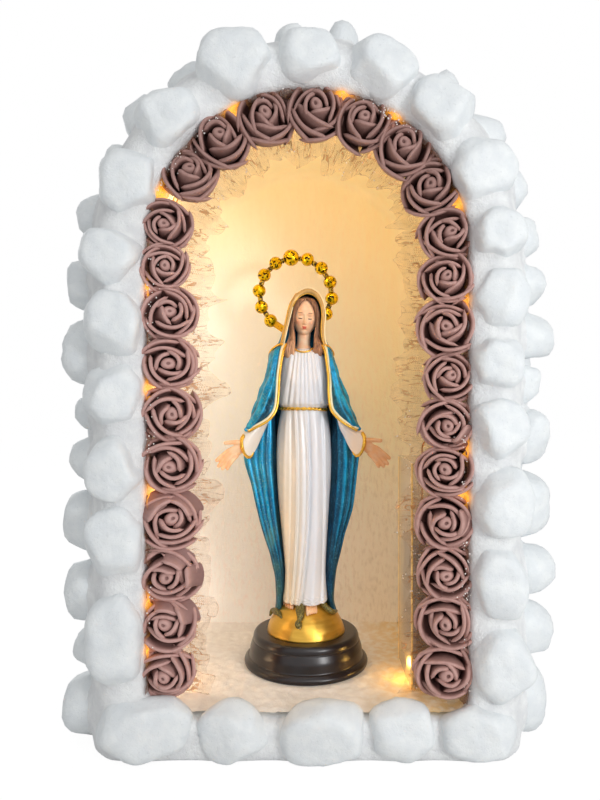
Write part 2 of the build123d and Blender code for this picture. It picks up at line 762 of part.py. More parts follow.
# ---- the assembly ------------------------------------------------------------------------------
def build_all():
    parts = {
        "floor_slab": build_floor_slab(),
        "left_wall": build_side_wall(-1),
        "right_wall": build_side_wall(1),
        "arch_vault": build_arch_vault(),
        "back_panel": build_back_panel(),
        "rim_pebbles_left": build_rim_side(-1, LEFT_RIM),
        "rim_pebbles_right": build_rim_side(1, RIGHT_RIM),
        "rim_pebbles_arch": build_rim_arch(),
        "sill_pebbles": build_sill(),
        "side_pebbles_left": build_side_pebbles(-1, LEFT_SIDE),
        "side_pebbles_right": build_side_pebbles(1, RIGHT_SIDE),
        "crown_pebbles": build_crown_pebbles(),
        "roses_left": build_roses(0, 9),
        "roses_arch": build_roses(9, 18),
        "roses_right": build_roses(18, 27),
        "tulle_band": build_tulle(),
        "lamps": build_lamps(),
        "battery_case": build_battery_case(),
        "battery_pack": build_battery_pack(),
        "plinth": build_plinth(),
        "globe": build_globe(),
        "belt": build_belt(),
        "head": build_head(),
        "halo_beads": build_halo_beads(),
    }
    parts["lamp_wire"] = build_lamp_wire(parts["lamps"])
    parts["gown"] = build_gown(parts["globe"])
    parts["hair"] = build_hair(parts["head"], parts["gown"])
    arms = []
    for name, side in (("right", -1), ("left", 1)):
        sleeve = build_sleeve(side, parts["gown"], parts["belt"])
        cuff = build_cuff(side)
        hand = build_hand(side, cuff, sleeve)
        parts[f"{name}_sleeve"], parts[f"{name}_cuff"], parts[f"{name}_hand"] = sleeve, cuff, hand
        arms += [sleeve, cuff, hand]
    parts["mantle"] = build_mantle(
        (parts["gown"], parts["belt"], parts["head"], parts["hair"], parts["globe"], *arms)
    )
    parts["serpent"] = build_serpent(parts["globe"], parts["gown"], parts["mantle"])
    parts["feet"] = build_feet(parts["globe"], parts["gown"], parts["serpent"])
    parts["halo_links"] = build_halo_links()
    parts["halo_ends"] = build_halo_ends(parts["halo_beads"], parts["mantle"])
    return parts


os.makedirs("parts", exist_ok=True)
for node, shape in build_all().items():
    export_step(shape, f"parts/{node}.step")
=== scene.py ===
import math

import bmesh
import bpy
import numpy as np
from mathutils import Matrix, Vector, noise


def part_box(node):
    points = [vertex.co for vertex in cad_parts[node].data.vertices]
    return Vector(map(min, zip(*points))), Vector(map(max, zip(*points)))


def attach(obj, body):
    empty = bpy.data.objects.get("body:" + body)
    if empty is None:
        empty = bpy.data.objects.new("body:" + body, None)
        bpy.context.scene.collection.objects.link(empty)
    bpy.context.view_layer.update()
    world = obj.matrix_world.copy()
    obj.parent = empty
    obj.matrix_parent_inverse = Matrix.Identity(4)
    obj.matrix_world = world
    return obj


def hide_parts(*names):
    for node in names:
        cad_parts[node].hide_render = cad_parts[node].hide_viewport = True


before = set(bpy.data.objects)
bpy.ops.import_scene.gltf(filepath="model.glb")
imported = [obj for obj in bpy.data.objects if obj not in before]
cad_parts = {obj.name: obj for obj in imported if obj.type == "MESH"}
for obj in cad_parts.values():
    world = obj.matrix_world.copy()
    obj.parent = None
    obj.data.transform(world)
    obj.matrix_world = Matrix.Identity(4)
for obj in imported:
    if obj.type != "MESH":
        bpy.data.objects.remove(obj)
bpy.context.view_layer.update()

# ---- pebbles -----------------------------------------------------------------------------------
# White marble pebbles, tumbled smooth, bedded in wet plaster round the mouth of the niche, along
# its sill and in three rows over its outer sides. Each keeps the flats and hollows of the stone
# that it was broken from.
METRE = 0.001  # the lengths in this script are millimetres


def box(node):
    """The lowest and the highest corner of a CAD node, in millimetres."""
    return [np.array(corner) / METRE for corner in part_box(node)]


SPRING = box("left_wall")[1][2]  # where the arch springs


class Link:
    """An output of a shader node. Python's operators on it add Math nodes."""

    def __init__(self, socket):
        self.socket = socket

    def node(self, kind, inputs=None, output=0, **settings):
        """Any other node, with its settings and the values or links of its sockets."""
        made = self.socket.id_data.nodes.new("ShaderNode" + kind)
        for name, value in settings.items():
            setattr(made, name, value)
        for name, value in (inputs or {}).items():
            if isinstance(value, Link):
                self.socket.id_data.links.new(value.socket, made.inputs[name])
            else:
                made.inputs[name].default_value = value
        return Link(made.outputs[output])

    def math(self, operation, first, second=0.0):
        return self.node("Math", {0: first, 1: second}, operation=operation)

    def value(self, name):
        """A number that paint_value keeps for each point of the piece."""
        return self.node("Attribute", output=2, attribute_name=name)

    def step(self, low, high):
        """0 below low, 1 above high, and a smooth rise between them."""
        ends = {"Value": self, "From Min": low, "From Max": high}
        return self.node("MapRange", ends, interpolation_type="SMOOTHSTEP")

    def noise(self, size, detail=2.0, stretch=(1, 1, 1)):
        """Noise about this place with lumps of a size in millimetres, longer where stretch is."""
        scale = tuple(1 / (size * METRE * s) for s in stretch)
        at = self.node("VectorMath", {0: self, 1: scale}, operation="MULTIPLY")
        return self.node("TexNoise", {"Vector": at, "Scale": 1.0, "Detail": detail})

    def mix(self, first, second):
        """A colour: the first where this is 0, the second where it is 1. Either may be a web colour."""
        first, second = (ink(one) if isinstance(one, str) else one for one in (first, second))
        return self.node("Mix", {0: self, 6: first, 7: second}, output=2, data_type="RGBA")

    def axis(self, index):
        return self.node("SeparateXYZ", {0: self}, output=index) / METRE


for sign, operation in (("add", "ADD"), ("sub", "SUBTRACT"), ("mul", "MULTIPLY"), ("truediv", "DIVIDE")):
    setattr(Link, f"__{sign}__", lambda one, other, way=operation: one.math(way, one, other))
    setattr(Link, f"__r{sign}__", lambda one, other, way=operation: one.math(way, other, one))


def ink(code):
    """A shader colour from a web colour."""
    values = [int(code[i : i + 2], 16) / 255 for i in (0, 2, 4)]
    linear = [v / 12.92 if v < 0.04045 else ((v + 0.055) / 1.055) ** 2.4 for v in values]
    return (*linear, 1.0)


def finish(name, roughness=0.5, **fixed):
    """A material, its Principled shader, and a link to the place on the piece."""
    material = bpy.data.materials.new(name)
    material.use_nodes = True
    shader = material.node_tree.nodes["Principled BSDF"]
    shader.inputs["Roughness"].default_value = roughness
    for socket, value in fixed.items():
        shader.inputs[socket.replace("_", " ")].default_value = value
    return material, shader, Link(shader.outputs[0]).node("TexCoord", output="Object")


def feed(shader, **links):
    for socket, link in links.items():
        shader.id_data.links.new(link.socket, shader.inputs[socket.replace("_", " ")])


def relief(shader, height, depth):
    """Surface relief from a height that runs from 0 to 1, depth millimetres deep."""
    bump = height.node("Bump", {"Height": height, "Distance": depth * METRE, "Strength": 1.0})
    feed(shader, Normal=bump)


def add(name, points, faces, material, slot, *nodes, smooth=True):
    """A piece from points in millimetres. It rides on the shrine and stands for CAD nodes."""
    mesh = bpy.data.meshes.new(name)
    places = np.reshape(np.asarray(points, float), (-1, 3)) * METRE
    mesh.from_pydata(places.tolist(), [], faces)
    mesh.update()
    mesh.materials.append(material)
    mesh.polygons.foreach_set("use_smooth", [smooth] * len(mesh.polygons))
    piece = bpy.data.objects.new(name, mesh)
    bpy.context.scene.collection.objects.link(piece)
    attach(piece, "root")
    if nodes:
        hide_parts(*nodes)
    return piece


def joined(*forms):
    """Several forms as one list of points and one of faces."""
    points, faces = [], []
    for form_points, form_faces in forms:
        faces += [[i + len(points) for i in face] for face in form_faces]
        points += np.asarray(form_points).tolist()
    return points, faces


def unit(vectors):
    """The same directions, each 1 long."""
    return vectors / np.linalg.norm(vectors, axis=-1, keepdims=True)


def loose_parts(node):
    """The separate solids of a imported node, each as its points in millimetres and its faces."""
    form = bmesh.new()
    form.from_mesh(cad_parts[node].data)
    bmesh.ops.remove_doubles(form, verts=form.verts, dist=1e-6)
    parts, seen = [], set()
    for start in form.verts:
        if start in seen:
            continue
        seen.add(start)
        island, queue = [], [start]
        while queue:
            vertex = queue.pop()
            island.append(vertex)
            for edge in vertex.link_edges:
                other = edge.other_vert(vertex)
                if other not in seen:
                    seen.add(other)
                    queue.append(other)
        number = {vertex: i for i, vertex in enumerate(island)}
        faces = {face for vertex in island for face in vertex.link_faces}
        points = np.array([vertex.co for vertex in island]) / METRE
        parts.append((points, [[number[v] for v in face.verts] for face in faces]))
    form.free()
    return sorted(parts, key=lambda part: tuple(np.round(part[0].mean(axis=0), 2)))


def ball(detail):
    """A ball of even triangles, as its directions and its faces."""
    form = bmesh.new()
    bmesh.ops.create_icosphere(form, subdivisions=detail, radius=1.0)
    directions = np.array([vertex.co for vertex in form.verts])
    faces = [[v.index for v in face.verts] for face in form.faces]
    form.free()
    return directions, faces


def lumps(points, size, seed=0.0):
    """Smooth noise from -1 to 1 at each point, with lumps of a size in millimetres."""
    shift = Vector((seed, 0, 0))
    values = [noise.noise(Vector(p) / size + shift) for p in np.reshape(points, (-1, 3))]
    return np.reshape(values, np.shape(points)[:-1])


def extent(points):
    """The middle and the size of the box round these points."""
    return (points.min(axis=0) + points.max(axis=0)) / 2, np.ptp(points, axis=0)


WEAR = 18  # how sharp the edges between a pebble's flats are


def tumbled(corners, front, detail, draw):
    """A pebble with broad flats and worn edges, as large as the solid with these corners.

    front is the way that its largest flat faces. draw makes the random numbers.
    """
    centre, whole = extent(corners)
    front = unit(np.array(front, float) + draw.normal(size=3) * 0.13)
    side = unit(np.cross(front, draw.normal(size=3)))
    other = np.cross(front, side)
    turns = (np.arange(6) + draw.uniform(-0.28, 0.28, 6)) * math.pi / 3
    rim = np.cos(turns)[:, None] * side + np.sin(turns)[:, None] * other
    rim += front * draw.uniform(-0.05, 0.55, 6)[:, None]
    flats = unit(np.vstack([front, rim, draw.normal(size=(3, 3))]))
    normals = np.vstack([flats, ball(2)[0]])
    depths = ((corners - centre) @ normals.T).max(axis=0)
    depths[0] *= 0.7
    depths[1:10] *= draw.uniform(0.74, 0.95, 9)
    directions, faces = ball(detail)
    facing = np.maximum(directions @ normals.T, 0) / depths
    reach = (facing**WEAR).sum(axis=1) ** (-1 / WEAR)
    seed = draw.uniform(0, 50)
    at = directions * reach[:, None]
    dents = 1.5 * lumps(at, 19, seed) + 0.6 * lumps(at, 8, seed) + 0.22 * lumps(at, 3.6, seed)
    worn = at + directions * dents[:, None]
    middle, size = extent(worn)
    return centre + (worn - middle) * whole / size, faces


marble, marble_shader, place = finish("white_marble", 0.5)
cloud = place.noise(9, 4).step(0.3, 0.75)
pits = place.noise(1.6, 3).step(0.63, 0.72) * 0.22
feed(marble_shader, Base_Color=pits.mix(cloud.mix("E3E8EB", "EDF1F2"), "B4BABD"))
relief(marble_shader, place.noise(0.8, 2) * 0.4 + place.noise(3.5, 4) * 0.8 - pits * 0.6, 0.6)

FORWARD = (0, -1, 0)
BEDDED = 0.955  # the plaster is built up round pebbles this much smaller, and so never hides a face
bedded = []
pebble_rows = (
    ("rim_pebbles_left", FORWARD, 4),
    ("rim_pebbles_right", FORWARD, 4),
    ("rim_pebbles_arch", FORWARD, 4),
    ("sill_pebbles", FORWARD, 4),
    ("side_pebbles_left", (-1, 0, 0), 3),
    ("side_pebbles_right", (1, 0, 0), 3),
    ("crown_pebbles", None, 3),
)
for number, (node, front, detail) in enumerate(pebble_rows):
    forms = []
    draw = np.random.default_rng(number)
    for corners, _ in loose_parts(node):
        upright = corners.mean(axis=0) * (1, 0, 1) - (0, 0, SPRING)
        worn, triangles = tumbled(corners, unit(upright) if front is None else front, detail, draw)
        forms.append((worn, triangles))
        middle = worn.mean(axis=0)
        bedded.append((middle + (worn - middle) * BEDDED, triangles))
    add(node + "_tumbled", *joined(*forms), marble, "marble", node)

# ---- plaster -----------------------------------------------------------------------------------
# The body of the shrine: a light core under a thick skin of white plaster, trowelled up round each
# pebble while it was wet and rubbed smooth with a damp sponge.
floor_low, floor_high = box("floor_slab")
panel_low, panel_high = box("back_panel")
wall_low, wall_high = box("left_wall")
FLOOR_TOP = floor_high[2]
NICHE_RADIUS = -wall_high[0]
OUTER_RADIUS = -wall_low[0]
FRONT, PANEL, BACK = floor_low[1], panel_low[1], panel_high[1]
COAT = 6.0  # plaster over the outer faces of the core, before it is rubbed down
CHAMFER = 12.0  # how far the front edge is rounded off
GRAIN = 3.1  # how fine the plaster's skin is made
RUBS = 11  # how often it is rubbed over
LINING = 2.5  # room for the lining inside the niche


def arch_line(radius, bottom, count=24):
    """The stilted arch as (x, z): up the left side, round, and down the right side."""
    legs = np.linspace(bottom, SPRING, count, endpoint=False)
    turns = np.linspace(math.pi, 0, 3 * count)
    left = [(-radius, z) for z in legs]
    head = [(radius * math.cos(a), SPRING + radius * math.sin(a)) for a in turns]
    return left + head + [(radius, z) for z in legs[::-1]]


def sheet_faces(rows, columns, closed=False):
    """Four-sided faces over points laid in rows."""
    faces = []
    for near in range(0, (rows - 1) * columns, columns):
        for i in range(columns if closed else columns - 1):
            j, far = (i + 1) % columns, near + columns
            faces.append([near + i, near + j, far + j, far + i])
    return faces


def tube_faces(rows, columns):
    """Faces over rings of points, with both ends closed."""
    last = (rows - 1) * columns
    ends = [list(range(columns))[::-1], list(range(last, last + columns))]
    return sheet_faces(rows, columns, closed=True) + ends


def build_core():
    """The closed body of the shrine with the niche hollowed out of it."""
    outer = arch_line(OUTER_RADIUS + COAT, 0)
    face = arch_line(OUTER_RADIUS + COAT - CHAMFER, 0)
    inner = arch_line(NICHE_RADIUS + LINING, FLOOR_TOP - LINING)
    lip = arch_line(NICHE_RADIUS, FLOOR_TOP - LINING)
    stations = ((inner, PANEL + LINING), (inner, FRONT + 9), (lip, FRONT + 8), (lip, FRONT - COAT))
    stations += ((face, FRONT - COAT), (outer, FRONT - COAT + CHAMFER), (outer, BACK))
    points = [(x, y, z) for line, y in stations for x, z in line]
    return points, [[face[0], *face[:0:-1]] for face in tube_faces(len(stations), len(outer))]


def skinned(piece, grain, rubs):
    """The piece remade as one even skin, rubbed smooth. Returns its points."""
    remesh = piece.modifiers.new("skin", "REMESH")
    remesh.mode = "VOXEL"
    remesh.voxel_size = grain * METRE
    shown = piece.evaluated_get(bpy.context.evaluated_depsgraph_get())
    mesh = bpy.data.meshes.new_from_object(shown)
    piece.modifiers.clear()
    piece.data = mesh
    points, edges = np.empty(len(mesh.vertices) * 3), np.empty(len(mesh.edges) * 2, dtype=int)
    mesh.vertices.foreach_get("co", points)
    mesh.edges.foreach_get("vertices", edges)
    points, edges = points.reshape(-1, 3) / METRE, edges.reshape(-1, 2)
    count = np.bincount(edges.ravel())[:, None]
    for _ in range(rubs):  # each point is drawn halfway towards its neighbours
        total = np.zeros_like(points)
        np.add.at(total, edges[:, 0], points[edges[:, 1]])
        np.add.at(total, edges[:, 1], points[edges[:, 0]])
        points = points + 0.5 * (total / count - points)
    return points


def reshape(piece, points):
    """Moves the piece's points to these places and shades it smooth."""
    piece.data.vertices.foreach_set("co", (np.asarray(points) * METRE).ravel())
    piece.data.polygons.foreach_set("use_smooth", [True] * len(piece.data.polygons))
    piece.data.update()


white_plaster, plaster_shader, place = finish("white_plaster", 0.8)
feed(plaster_shader, Base_Color=place.noise(10, 4).step(0.3, 0.75).mix("E0E2E4", "F0F2F2"))
relief(plaster_shader, place.noise(0.9, 2) * 0.6 + place.noise(3, 4), 0.8)

core_nodes = ("left_wall", "right_wall", "arch_vault", "back_panel")
plaster = add("plaster_skin", *joined(build_core(), *bedded), white_plaster, "plaster", *core_nodes)
points = skinned(plaster, GRAIN, RUBS)
strokes = 0.9 + 0.6 * lumps(points * (1, 0, 0.45), 17, 4.0) + 0.3 * lumps(points * (1, 0, 1), 6, 7.0)
points[:, 1] = np.minimum(points[:, 1], BACK - np.maximum(strokes, 0))  # trowelled flat behind
points[:, 2] = np.maximum(points[:, 2], 0)
reshape(plaster, points)

# ---- lining ------------------------------------------------------------------------------------
# The inside of the niche, floated with plaster and brushed up and down with cream paint. Its floor
# is the same plaster dabbed on rough and left white. Both are warmed by painted lamp light and
# glow faintly, a painted stand-in for the lamps' light in the niche.
CORNER = 9.0  # radius of the hollow corner between the walls and the back
STATIONS = 26  # rows of points from the mouth to the back


def wall_rows():
    """(y, how far in from the wall) of each row: along the walls, round the corner, over the back."""
    rows = [(FRONT + 9.5, -1.5), (FRONT + 10, -0.4)]
    rows += [(y, 0.4) for y in np.linspace(FRONT + 12, PANEL - CORNER, STATIONS)]
    for turn in np.linspace(0, math.pi / 2, 6)[1:]:
        rows.append((PANEL - CORNER + CORNER * math.sin(turn), 0.4 + CORNER * (1 - math.cos(turn))))
    inward = np.linspace(CORNER, NICHE_RADIUS - 0.5, 34)[1:]
    return rows + [(PANEL, step) for step in inward]


profile = np.array(arch_line(1.0, 0.0, 40))
straight = np.clip(profile[:, 1], None, SPRING)
outward = np.column_stack([profile[:, 0], np.maximum(profile[:, 1] - SPRING, 0)])
legs = FLOOR_TOP - 1 + straight * (SPRING - FLOOR_TOP + 1) / SPRING
points = []
for y, inward in wall_rows():
    reach = NICHE_RADIUS - inward
    points += [(reach * x, y, z + reach * up) for (x, up), z in zip(outward, legs)]
points = np.array(points)
uneven = 0.9 * lumps(points, 38, 3.0) + 0.35 * lumps(points * (1, 1, 0.4), 9, 8.0)
on_back = np.clip((points[:, 1] - PANEL + CORNER) / CORNER, 0, 1)[:, None]
towards = np.column_stack([-points[:, 0], 0 * uneven, np.minimum(0, SPRING - points[:, 2])])
towards /= np.maximum(np.linalg.norm(towards, axis=1), 1.0)[:, None]
points += uneven[:, None] * (on_back * (0, -1, 0) + (1 - on_back) * towards)

# Painted light: the cream glows faintly in its own colour, standing in for the lamps' light.
cream_and_painted_lamp_light, cream_shader, place = finish("cream_and_painted_lamp_light", 0.62, Emission_Strength=0.2)
across = place.axis(0).step(-75, 85)
up = place.axis(2)
upper = across.mix("F3E2B6", "EDD8A2")
middle = across.mix("FAF6EA", "EED9A8")
lower = across.mix("F2EAE0", "EAD6B8")
# Painted lamp light: the tone is warmer and more yellow towards the top and the right, palest in the middle
# on the left.
tone = up.step(280, 420).mix(up.step(90, 260).mix(lower, middle), upper)
streak = place.noise(5, 4, (1, 1, 7)).step(0.35, 0.7)
paint = (streak * 0.1).mix(tone, "FFF3DA")
rough_low = 1 - up.step(120, 300) * 0.75
rough_right = 0.4 + place.axis(0).step(-60, 30) * 0.6
# Painted shade: the brush marks are darkened, most low down and on the right, to stand in for the shade of
# their relief.
marks = place.noise(2.4, 4, (1, 1, 2.8)).step(0.45, 0.75) * rough_low * rough_right * 0.24
paint = marks.mix(paint, "A88A5C")
feed(cream_shader, Base_Color=paint, Emission_Color=paint)
brushed = place.noise(2.2, 3, (1, 1, 3)) * 0.5 + place.noise(1.1, 2) * 0.4 + place.noise(14, 2) * 0.5
relief(cream_shader, (brushed - 0.7) * rough_low, 1.5)
rows = len(points) // len(profile)
add("niche_lining", points, sheet_faces(rows, len(profile)), cream_and_painted_lamp_light, "plaster_lit")

FLOOR_GRID = 1.6  # between the points of the floor
plinth_low, plinth_high = box("plinth")
FOOT = plinth_high[0]  # radius of the plinth's foot
across = np.arange(-NICHE_RADIUS - 2, NICHE_RADIUS + 2.1, FLOOR_GRID)
back = np.arange(FRONT - 2, PANEL + 1.1, FLOOR_GRID)
points = np.array([(x, y, FLOOR_TOP) for y in back for x in across])
away = np.hypot(points[:, 0], points[:, 1]) - FOOT
rough = 0.9 + 1.0 * lumps(points, 11, 2.0) + 0.9 * lumps(points, 5, 6.0) + 0.5 * lumps(points, 2.6, 1.0)
fillet = 5 * np.clip(1 - (PANEL - points[:, 1]) / 8, 0, 1) ** 2
fillet += 4 * np.clip(1 - (NICHE_RADIUS - np.abs(points[:, 0])) / 7, 0, 1) ** 2
points[:, 2] += np.clip(away / 4, 0, 1) * (rough + fillet) - 0.2
# Painted light: the floor glows faintly in its own colour, standing in for the lamps' light.
rough_plaster_and_painted_lamp_light, rough_shader, place = finish("rough_plaster_and_painted_lamp_light", 0.9, Emission_Strength=0.12)
dabs = place.noise(6, 4).step(0.35, 0.7)
# Painted lamp light: the floor is warmer towards the right, near the lamp at the end of the string.
tone = place.axis(0).step(20, 80).mix("E9E0D5", "E9C88E")
paint = (dabs * 0.5).mix(tone, "FBF5EA")
feed(rough_shader, Base_Color=paint, Emission_Color=paint)
relief(rough_shader, place.noise(1.0, 3), 0.7)
faces = sheet_faces(len(back), len(across))
add("niche_floor", points, faces, rough_plaster_and_painted_lamp_light, "plaster_lit", "floor_slab")

# ---- roses -------------------------------------------------------------------------------------
# Foam roses, each rolled from dusky pink sheet foam: a bud wrapped in a cone of three petals, then
# rings of wider cupped petals with thick curled lips. They are glued side by side round the mouth.
FOAM = 2.1  # thickness of the sheet foam
ROSE_SIZE = 14.0  # radius of the rose that the petals are drawn for
PETAL_COLUMNS = 13  # points across a petal


def paint_value(piece, name, values):
    """Keeps a number for each point of the piece, for its material to read."""
    layer = piece.data.attributes.new(name, "FLOAT", "POINT")
    layer.data.foreach_set("value", np.asarray(values, float))


def full_turn(count):
    """Evenly spaced angles, once round."""
    return np.linspace(0, 2 * math.pi, count, endpoint=False)


def petal(angle, spread, foot, lip, drop, flare, flat, tuck, draw):
    """One petal of sheet foam, open to the front, as points about the rose's axis and its faces.

    foot and lip are (distance from the axis, depth behind the front of the rose). drop is how much
    lower the lip is at its ends, flat how little it curves, and tuck how far one end lies inside
    its neighbour and the other outside.
    """
    side = np.linspace(-1, 1, PETAL_COLUMNS)
    rise = np.array([0, 0.3, 0.57, 0.78, 0.88, 0.94, 0.975, 0.99, 1.0])
    u, v = np.meshgrid(side, rise)
    swing = spread * (0.75 + 0.25 * np.sqrt(v))
    theta = angle + swing * u
    chord = math.cos(0.85 * spread) / np.cos(0.85 * spread * u)
    reach = foot[0] + (lip[0] - foot[0]) * np.sin(v * math.pi / 2) ** 0.8
    reach *= 1 - flat * (1 - chord) * v
    reach += tuck * u * v + flare * np.clip((v - 0.7) / 0.3, 0, 1) ** 2 * (1 - 0.6 * u**2)
    wave = draw.uniform(0, 6.3, 2)
    reach += 0.4 * np.sin(2.4 * u + wave[0]) * v
    depth = foot[1] + (lip[1] + drop * np.abs(u) ** 2.6 - foot[1]) * v
    depth += 0.4 * np.sin(3.1 * u + wave[1]) * v
    middle = np.stack([reach * np.cos(theta), depth, reach * np.sin(theta)], axis=-1)
    normal = np.cross(np.gradient(middle, axis=1), np.gradient(middle, axis=0))
    normal /= np.maximum(np.linalg.norm(normal, axis=2), 1e-6)[..., None]
    near_lip = np.clip((v - 0.93) / 0.07, 0, 1)
    near_side = np.clip((np.abs(u) - 0.88) / 0.12, 0, 1)
    thick = 0.5 * FOAM * np.sqrt(np.maximum((1 - near_lip**2) * (1 - near_side**2), 0.0))
    outer = middle + normal * thick[..., None]
    inner = middle - normal * thick[..., None]
    points = np.concatenate([outer.reshape(-1, 3), inner.reshape(-1, 3)])
    faces = sheet_faces(len(rise), PETAL_COLUMNS)
    count = len(rise) * PETAL_COLUMNS
    # tone is painted shade and highlight: dark at the foot of a petal, light at its lip, the inside kept
    # darker than the outside.
    tone = np.concatenate([(v**1.5).ravel(), (v**3).ravel() * 0.85])
    return points, faces + [[i + count for i in face[::-1]] for face in faces], tone


def bud(draw):
    """The rolled bud at the heart of a rose: a rounded knob, with the end of the roll at one side."""
    turn = full_turn(24)
    profile = ((3.6, 13), (3.9, 7), (3.8, 4.6), (3.4, 3.2), (2.7, 2.3), (1.9, 1.9), (1.1, 2.0), (0.6, 2.9))
    start = draw.uniform(0, 6.3)
    points = []
    for row, (r, y) in enumerate(profile):
        for a in turn:
            out = r * (1 + 0.09 * math.sin(2 * a + start)) + 0.3 * math.sin(a - start) * (row > 2)
            height = y + 0.5 * math.sin(a + start) * (row > 1)
            off = 0.16 * row
            points.append((out * math.cos(a) + off * math.cos(start), height, out * math.sin(a)))
    # Painted shade: dark deep in the rose and at the tight centre of the roll, light over the knob.
    tone = np.repeat((0, 0.3, 0.5, 0.75, 0.95, 1, 0.8, 0.1), len(turn))
    return np.array(points), tube_faces(len(profile), len(turn)), tone


def rose_parts(draw, folded):
    """The petals of one rose. Each ring starts between two petals of the ring inside it.

    folded are the (angle, spread, how far it reaches in) of outer petals pressed over the rose.
    """
    parts = [bud(draw)]
    start = draw.uniform(0, 2 * math.pi)
    rings = (
        (3, 1.20, (7.8, 14), (7.0, 0.8), 4.0, 0.3, 0.66, 1.3),
        (3, 1.22, (8.4, 17), (11.9, 2.7), 4.4, 1.0, 0.68, 1.7),
        (4, 1.06, (8.6, 20), (15.3, 5.4), 5.2, 1.2, 0.5, 1.4),
        (4, 1.02, (8.2, 22), (16.8, 8.6), 5.0, 1.0, 0.34, 0.6),
    )
    for count, spread, foot, lip, drop, flare, flat, tuck in rings:
        for i in range(count):
            angle = start + 2 * math.pi * (i + draw.uniform(-0.12, 0.12)) / count
            edge = (lip[0] * draw.uniform(0.92, 1.06), lip[1] + draw.uniform(-0.9, 1.2))
            wide = spread * draw.uniform(0.92, 1.08)
            bend = flat * draw.uniform(0.7, 1.3)
            parts.append(petal(angle, wide, foot, edge, drop, flare, bend, tuck, draw))
        start += math.pi / count + draw.uniform(-0.25, 0.25)
    for angle, spread, inner in folded:
        parts.append(petal(angle, spread, (17.6, 11), (inner, 0.4), 2.5, 0.0, 0.8, 0.6, draw))
    turn, profile = full_turn(20), ((7.6, 15), (8.2, 21), (7.0, 25))
    stalk = [(r * math.cos(a), y, r * math.sin(a)) for r, y in profile for a in turn]
    *sides, front_end, rear_end = tube_faces(len(profile), len(turn))
    faces = sides + [front_end[::-1], rear_end[::-1]]  # only its ends face outward
    # The stalk, deep behind the petals, takes the darkest painted shade.
    parts.append((np.array(stalk), faces, np.zeros(len(stalk))))
    return parts


foam, foam_shader, place = finish("dusky_foam", 0.62)
mottle = place.noise(3.5, 3).step(0.3, 0.7)
# Painted shade and highlight: lip runs from 0 deep in the rose, painted dark, to 1 at the rims, painted
# light.
lip = place.value("lip").step(0.1, 1.0)
paint = lip.mix(mottle.mix("6F4B44", "7D5650"), mottle.mix("BF948B", "CCA198"))
# Painted shade: the roses over the arch are darker, and those on the right a little darker.
top_and_right_painted_shade = place.axis(2).step(SPRING - 30, SPRING + 60) * 0.36 + place.axis(0).step(60, 85) * 0.1
paint = top_and_right_painted_shade.mix(paint, "4A302B")
# Painted light: the lower roses on the left are paler.
left_painted_light = (1 - place.axis(0).step(-75, -45)) * (1 - place.axis(2).step(SPRING, SPRING + 60)) * 0.26
feed(foam_shader, Base_Color=left_painted_light.mix(paint, "C8A19C"))
relief(foam_shader, place.noise(0.5, 2), 0.1)

# Petals pressed over their rose: how high the rose sits over the floor, the petal's angle, its
# spread and how near the rose's heart it reaches.
FOLDED = {
    "roses_left": (
        (8, 0.9, 0.75, 9),
        (8, 0.05, 0.7, 13),
        (42, 1.5, 0.8, 9),
        (42, 0.55, 0.6, 10),
        (74, 1.1, 0.6, 10),
        (74, 0.0, 0.55, 12),
        (107, 2.4, 0.9, 11),
        (107, 0.9, 0.8, 10),
    ),
    "roses_arch": (),
    "roses_right": ((112, 0.0, 0.8, 10), (180, -0.6, 0.7, 10)),
}
for number, node in enumerate(("roses_left", "roses_arch", "roses_right")):
    draw = np.random.default_rng(50 + number)
    forms, painted_depth_shade = [], []
    for corners, _ in loose_parts(node):
        middle, size = extent(corners)
        radius, back = size[0] / 2, corners[:, 1].min() - 3.0
        lift = Matrix.Rotation(draw.uniform(-0.26, 0.12), 3, "X")
        towards = -0.17 * middle[0] / NICHE_RADIUS + draw.uniform(-0.16, 0.16)
        lean = np.array(lift @ Matrix.Rotation(towards, 3, "Z"))
        outward = unit(np.array([middle[0], 0, max(middle[2] - SPRING, 0)]))
        longer, narrower = draw.uniform(0.02, 0.14), draw.uniform(-0.05, 0.03)
        stretch = np.eye(3) * (1 + narrower) + np.outer(outward, outward) * (longer - narrower)
        stretch[1, 1] = 1
        place_at = (middle[0], back, middle[2]) + outward * draw.uniform(2.0, 3.4)
        raised = middle[2] - FLOOR_TOP
        larger = 1.09 if node == "roses_arch" else 1.0  # the arch has the fullest roses
        folded = [entry[1:] for entry in FOLDED[node] if abs(entry[0] - raised) < 14]
        for petal_points, petal_faces, tone in rose_parts(draw, folded):
            about = (petal_points - (0, 14, 0)) @ stretch.T
            shaped = (about @ lean.T + (0, 14, 0)) * radius * larger / ROSE_SIZE + place_at
            forms.append((shaped, petal_faces))
            painted_depth_shade += tone.tolist()
    garland = add(node + "_petals", *joined(*forms), foam, "rose_foam", node)
    paint_value(garland, "lip", painted_depth_shade)

# ---- tulle -------------------------------------------------------------------------------------
# A long strip of peach bridal tulle, gathered and glued inside the mouth behind the roses, with its
# free edge crumpled inward. A second, narrow strip is crushed between the roses and the pebbles.
TULLE_STEP = 1.1  # between the rows of points along the strip


def along_mouth():
    """Even steps along the mouth: how far, (x, z) on a unit arch, and the height of its middle."""
    rise, over = SPRING - FLOOR_TOP, math.pi * NICHE_RADIUS
    count = int((2 * rise + over) / TULLE_STEP)
    run = np.linspace(0, 2 * rise + over, count)
    turn = np.clip(math.pi - (run - rise) / NICHE_RADIUS, 0, math.pi)
    drop = np.maximum(rise - run, 0) + np.maximum(run - rise - over, 0)
    return run, np.cos(turn), np.sin(turn), SPRING - drop


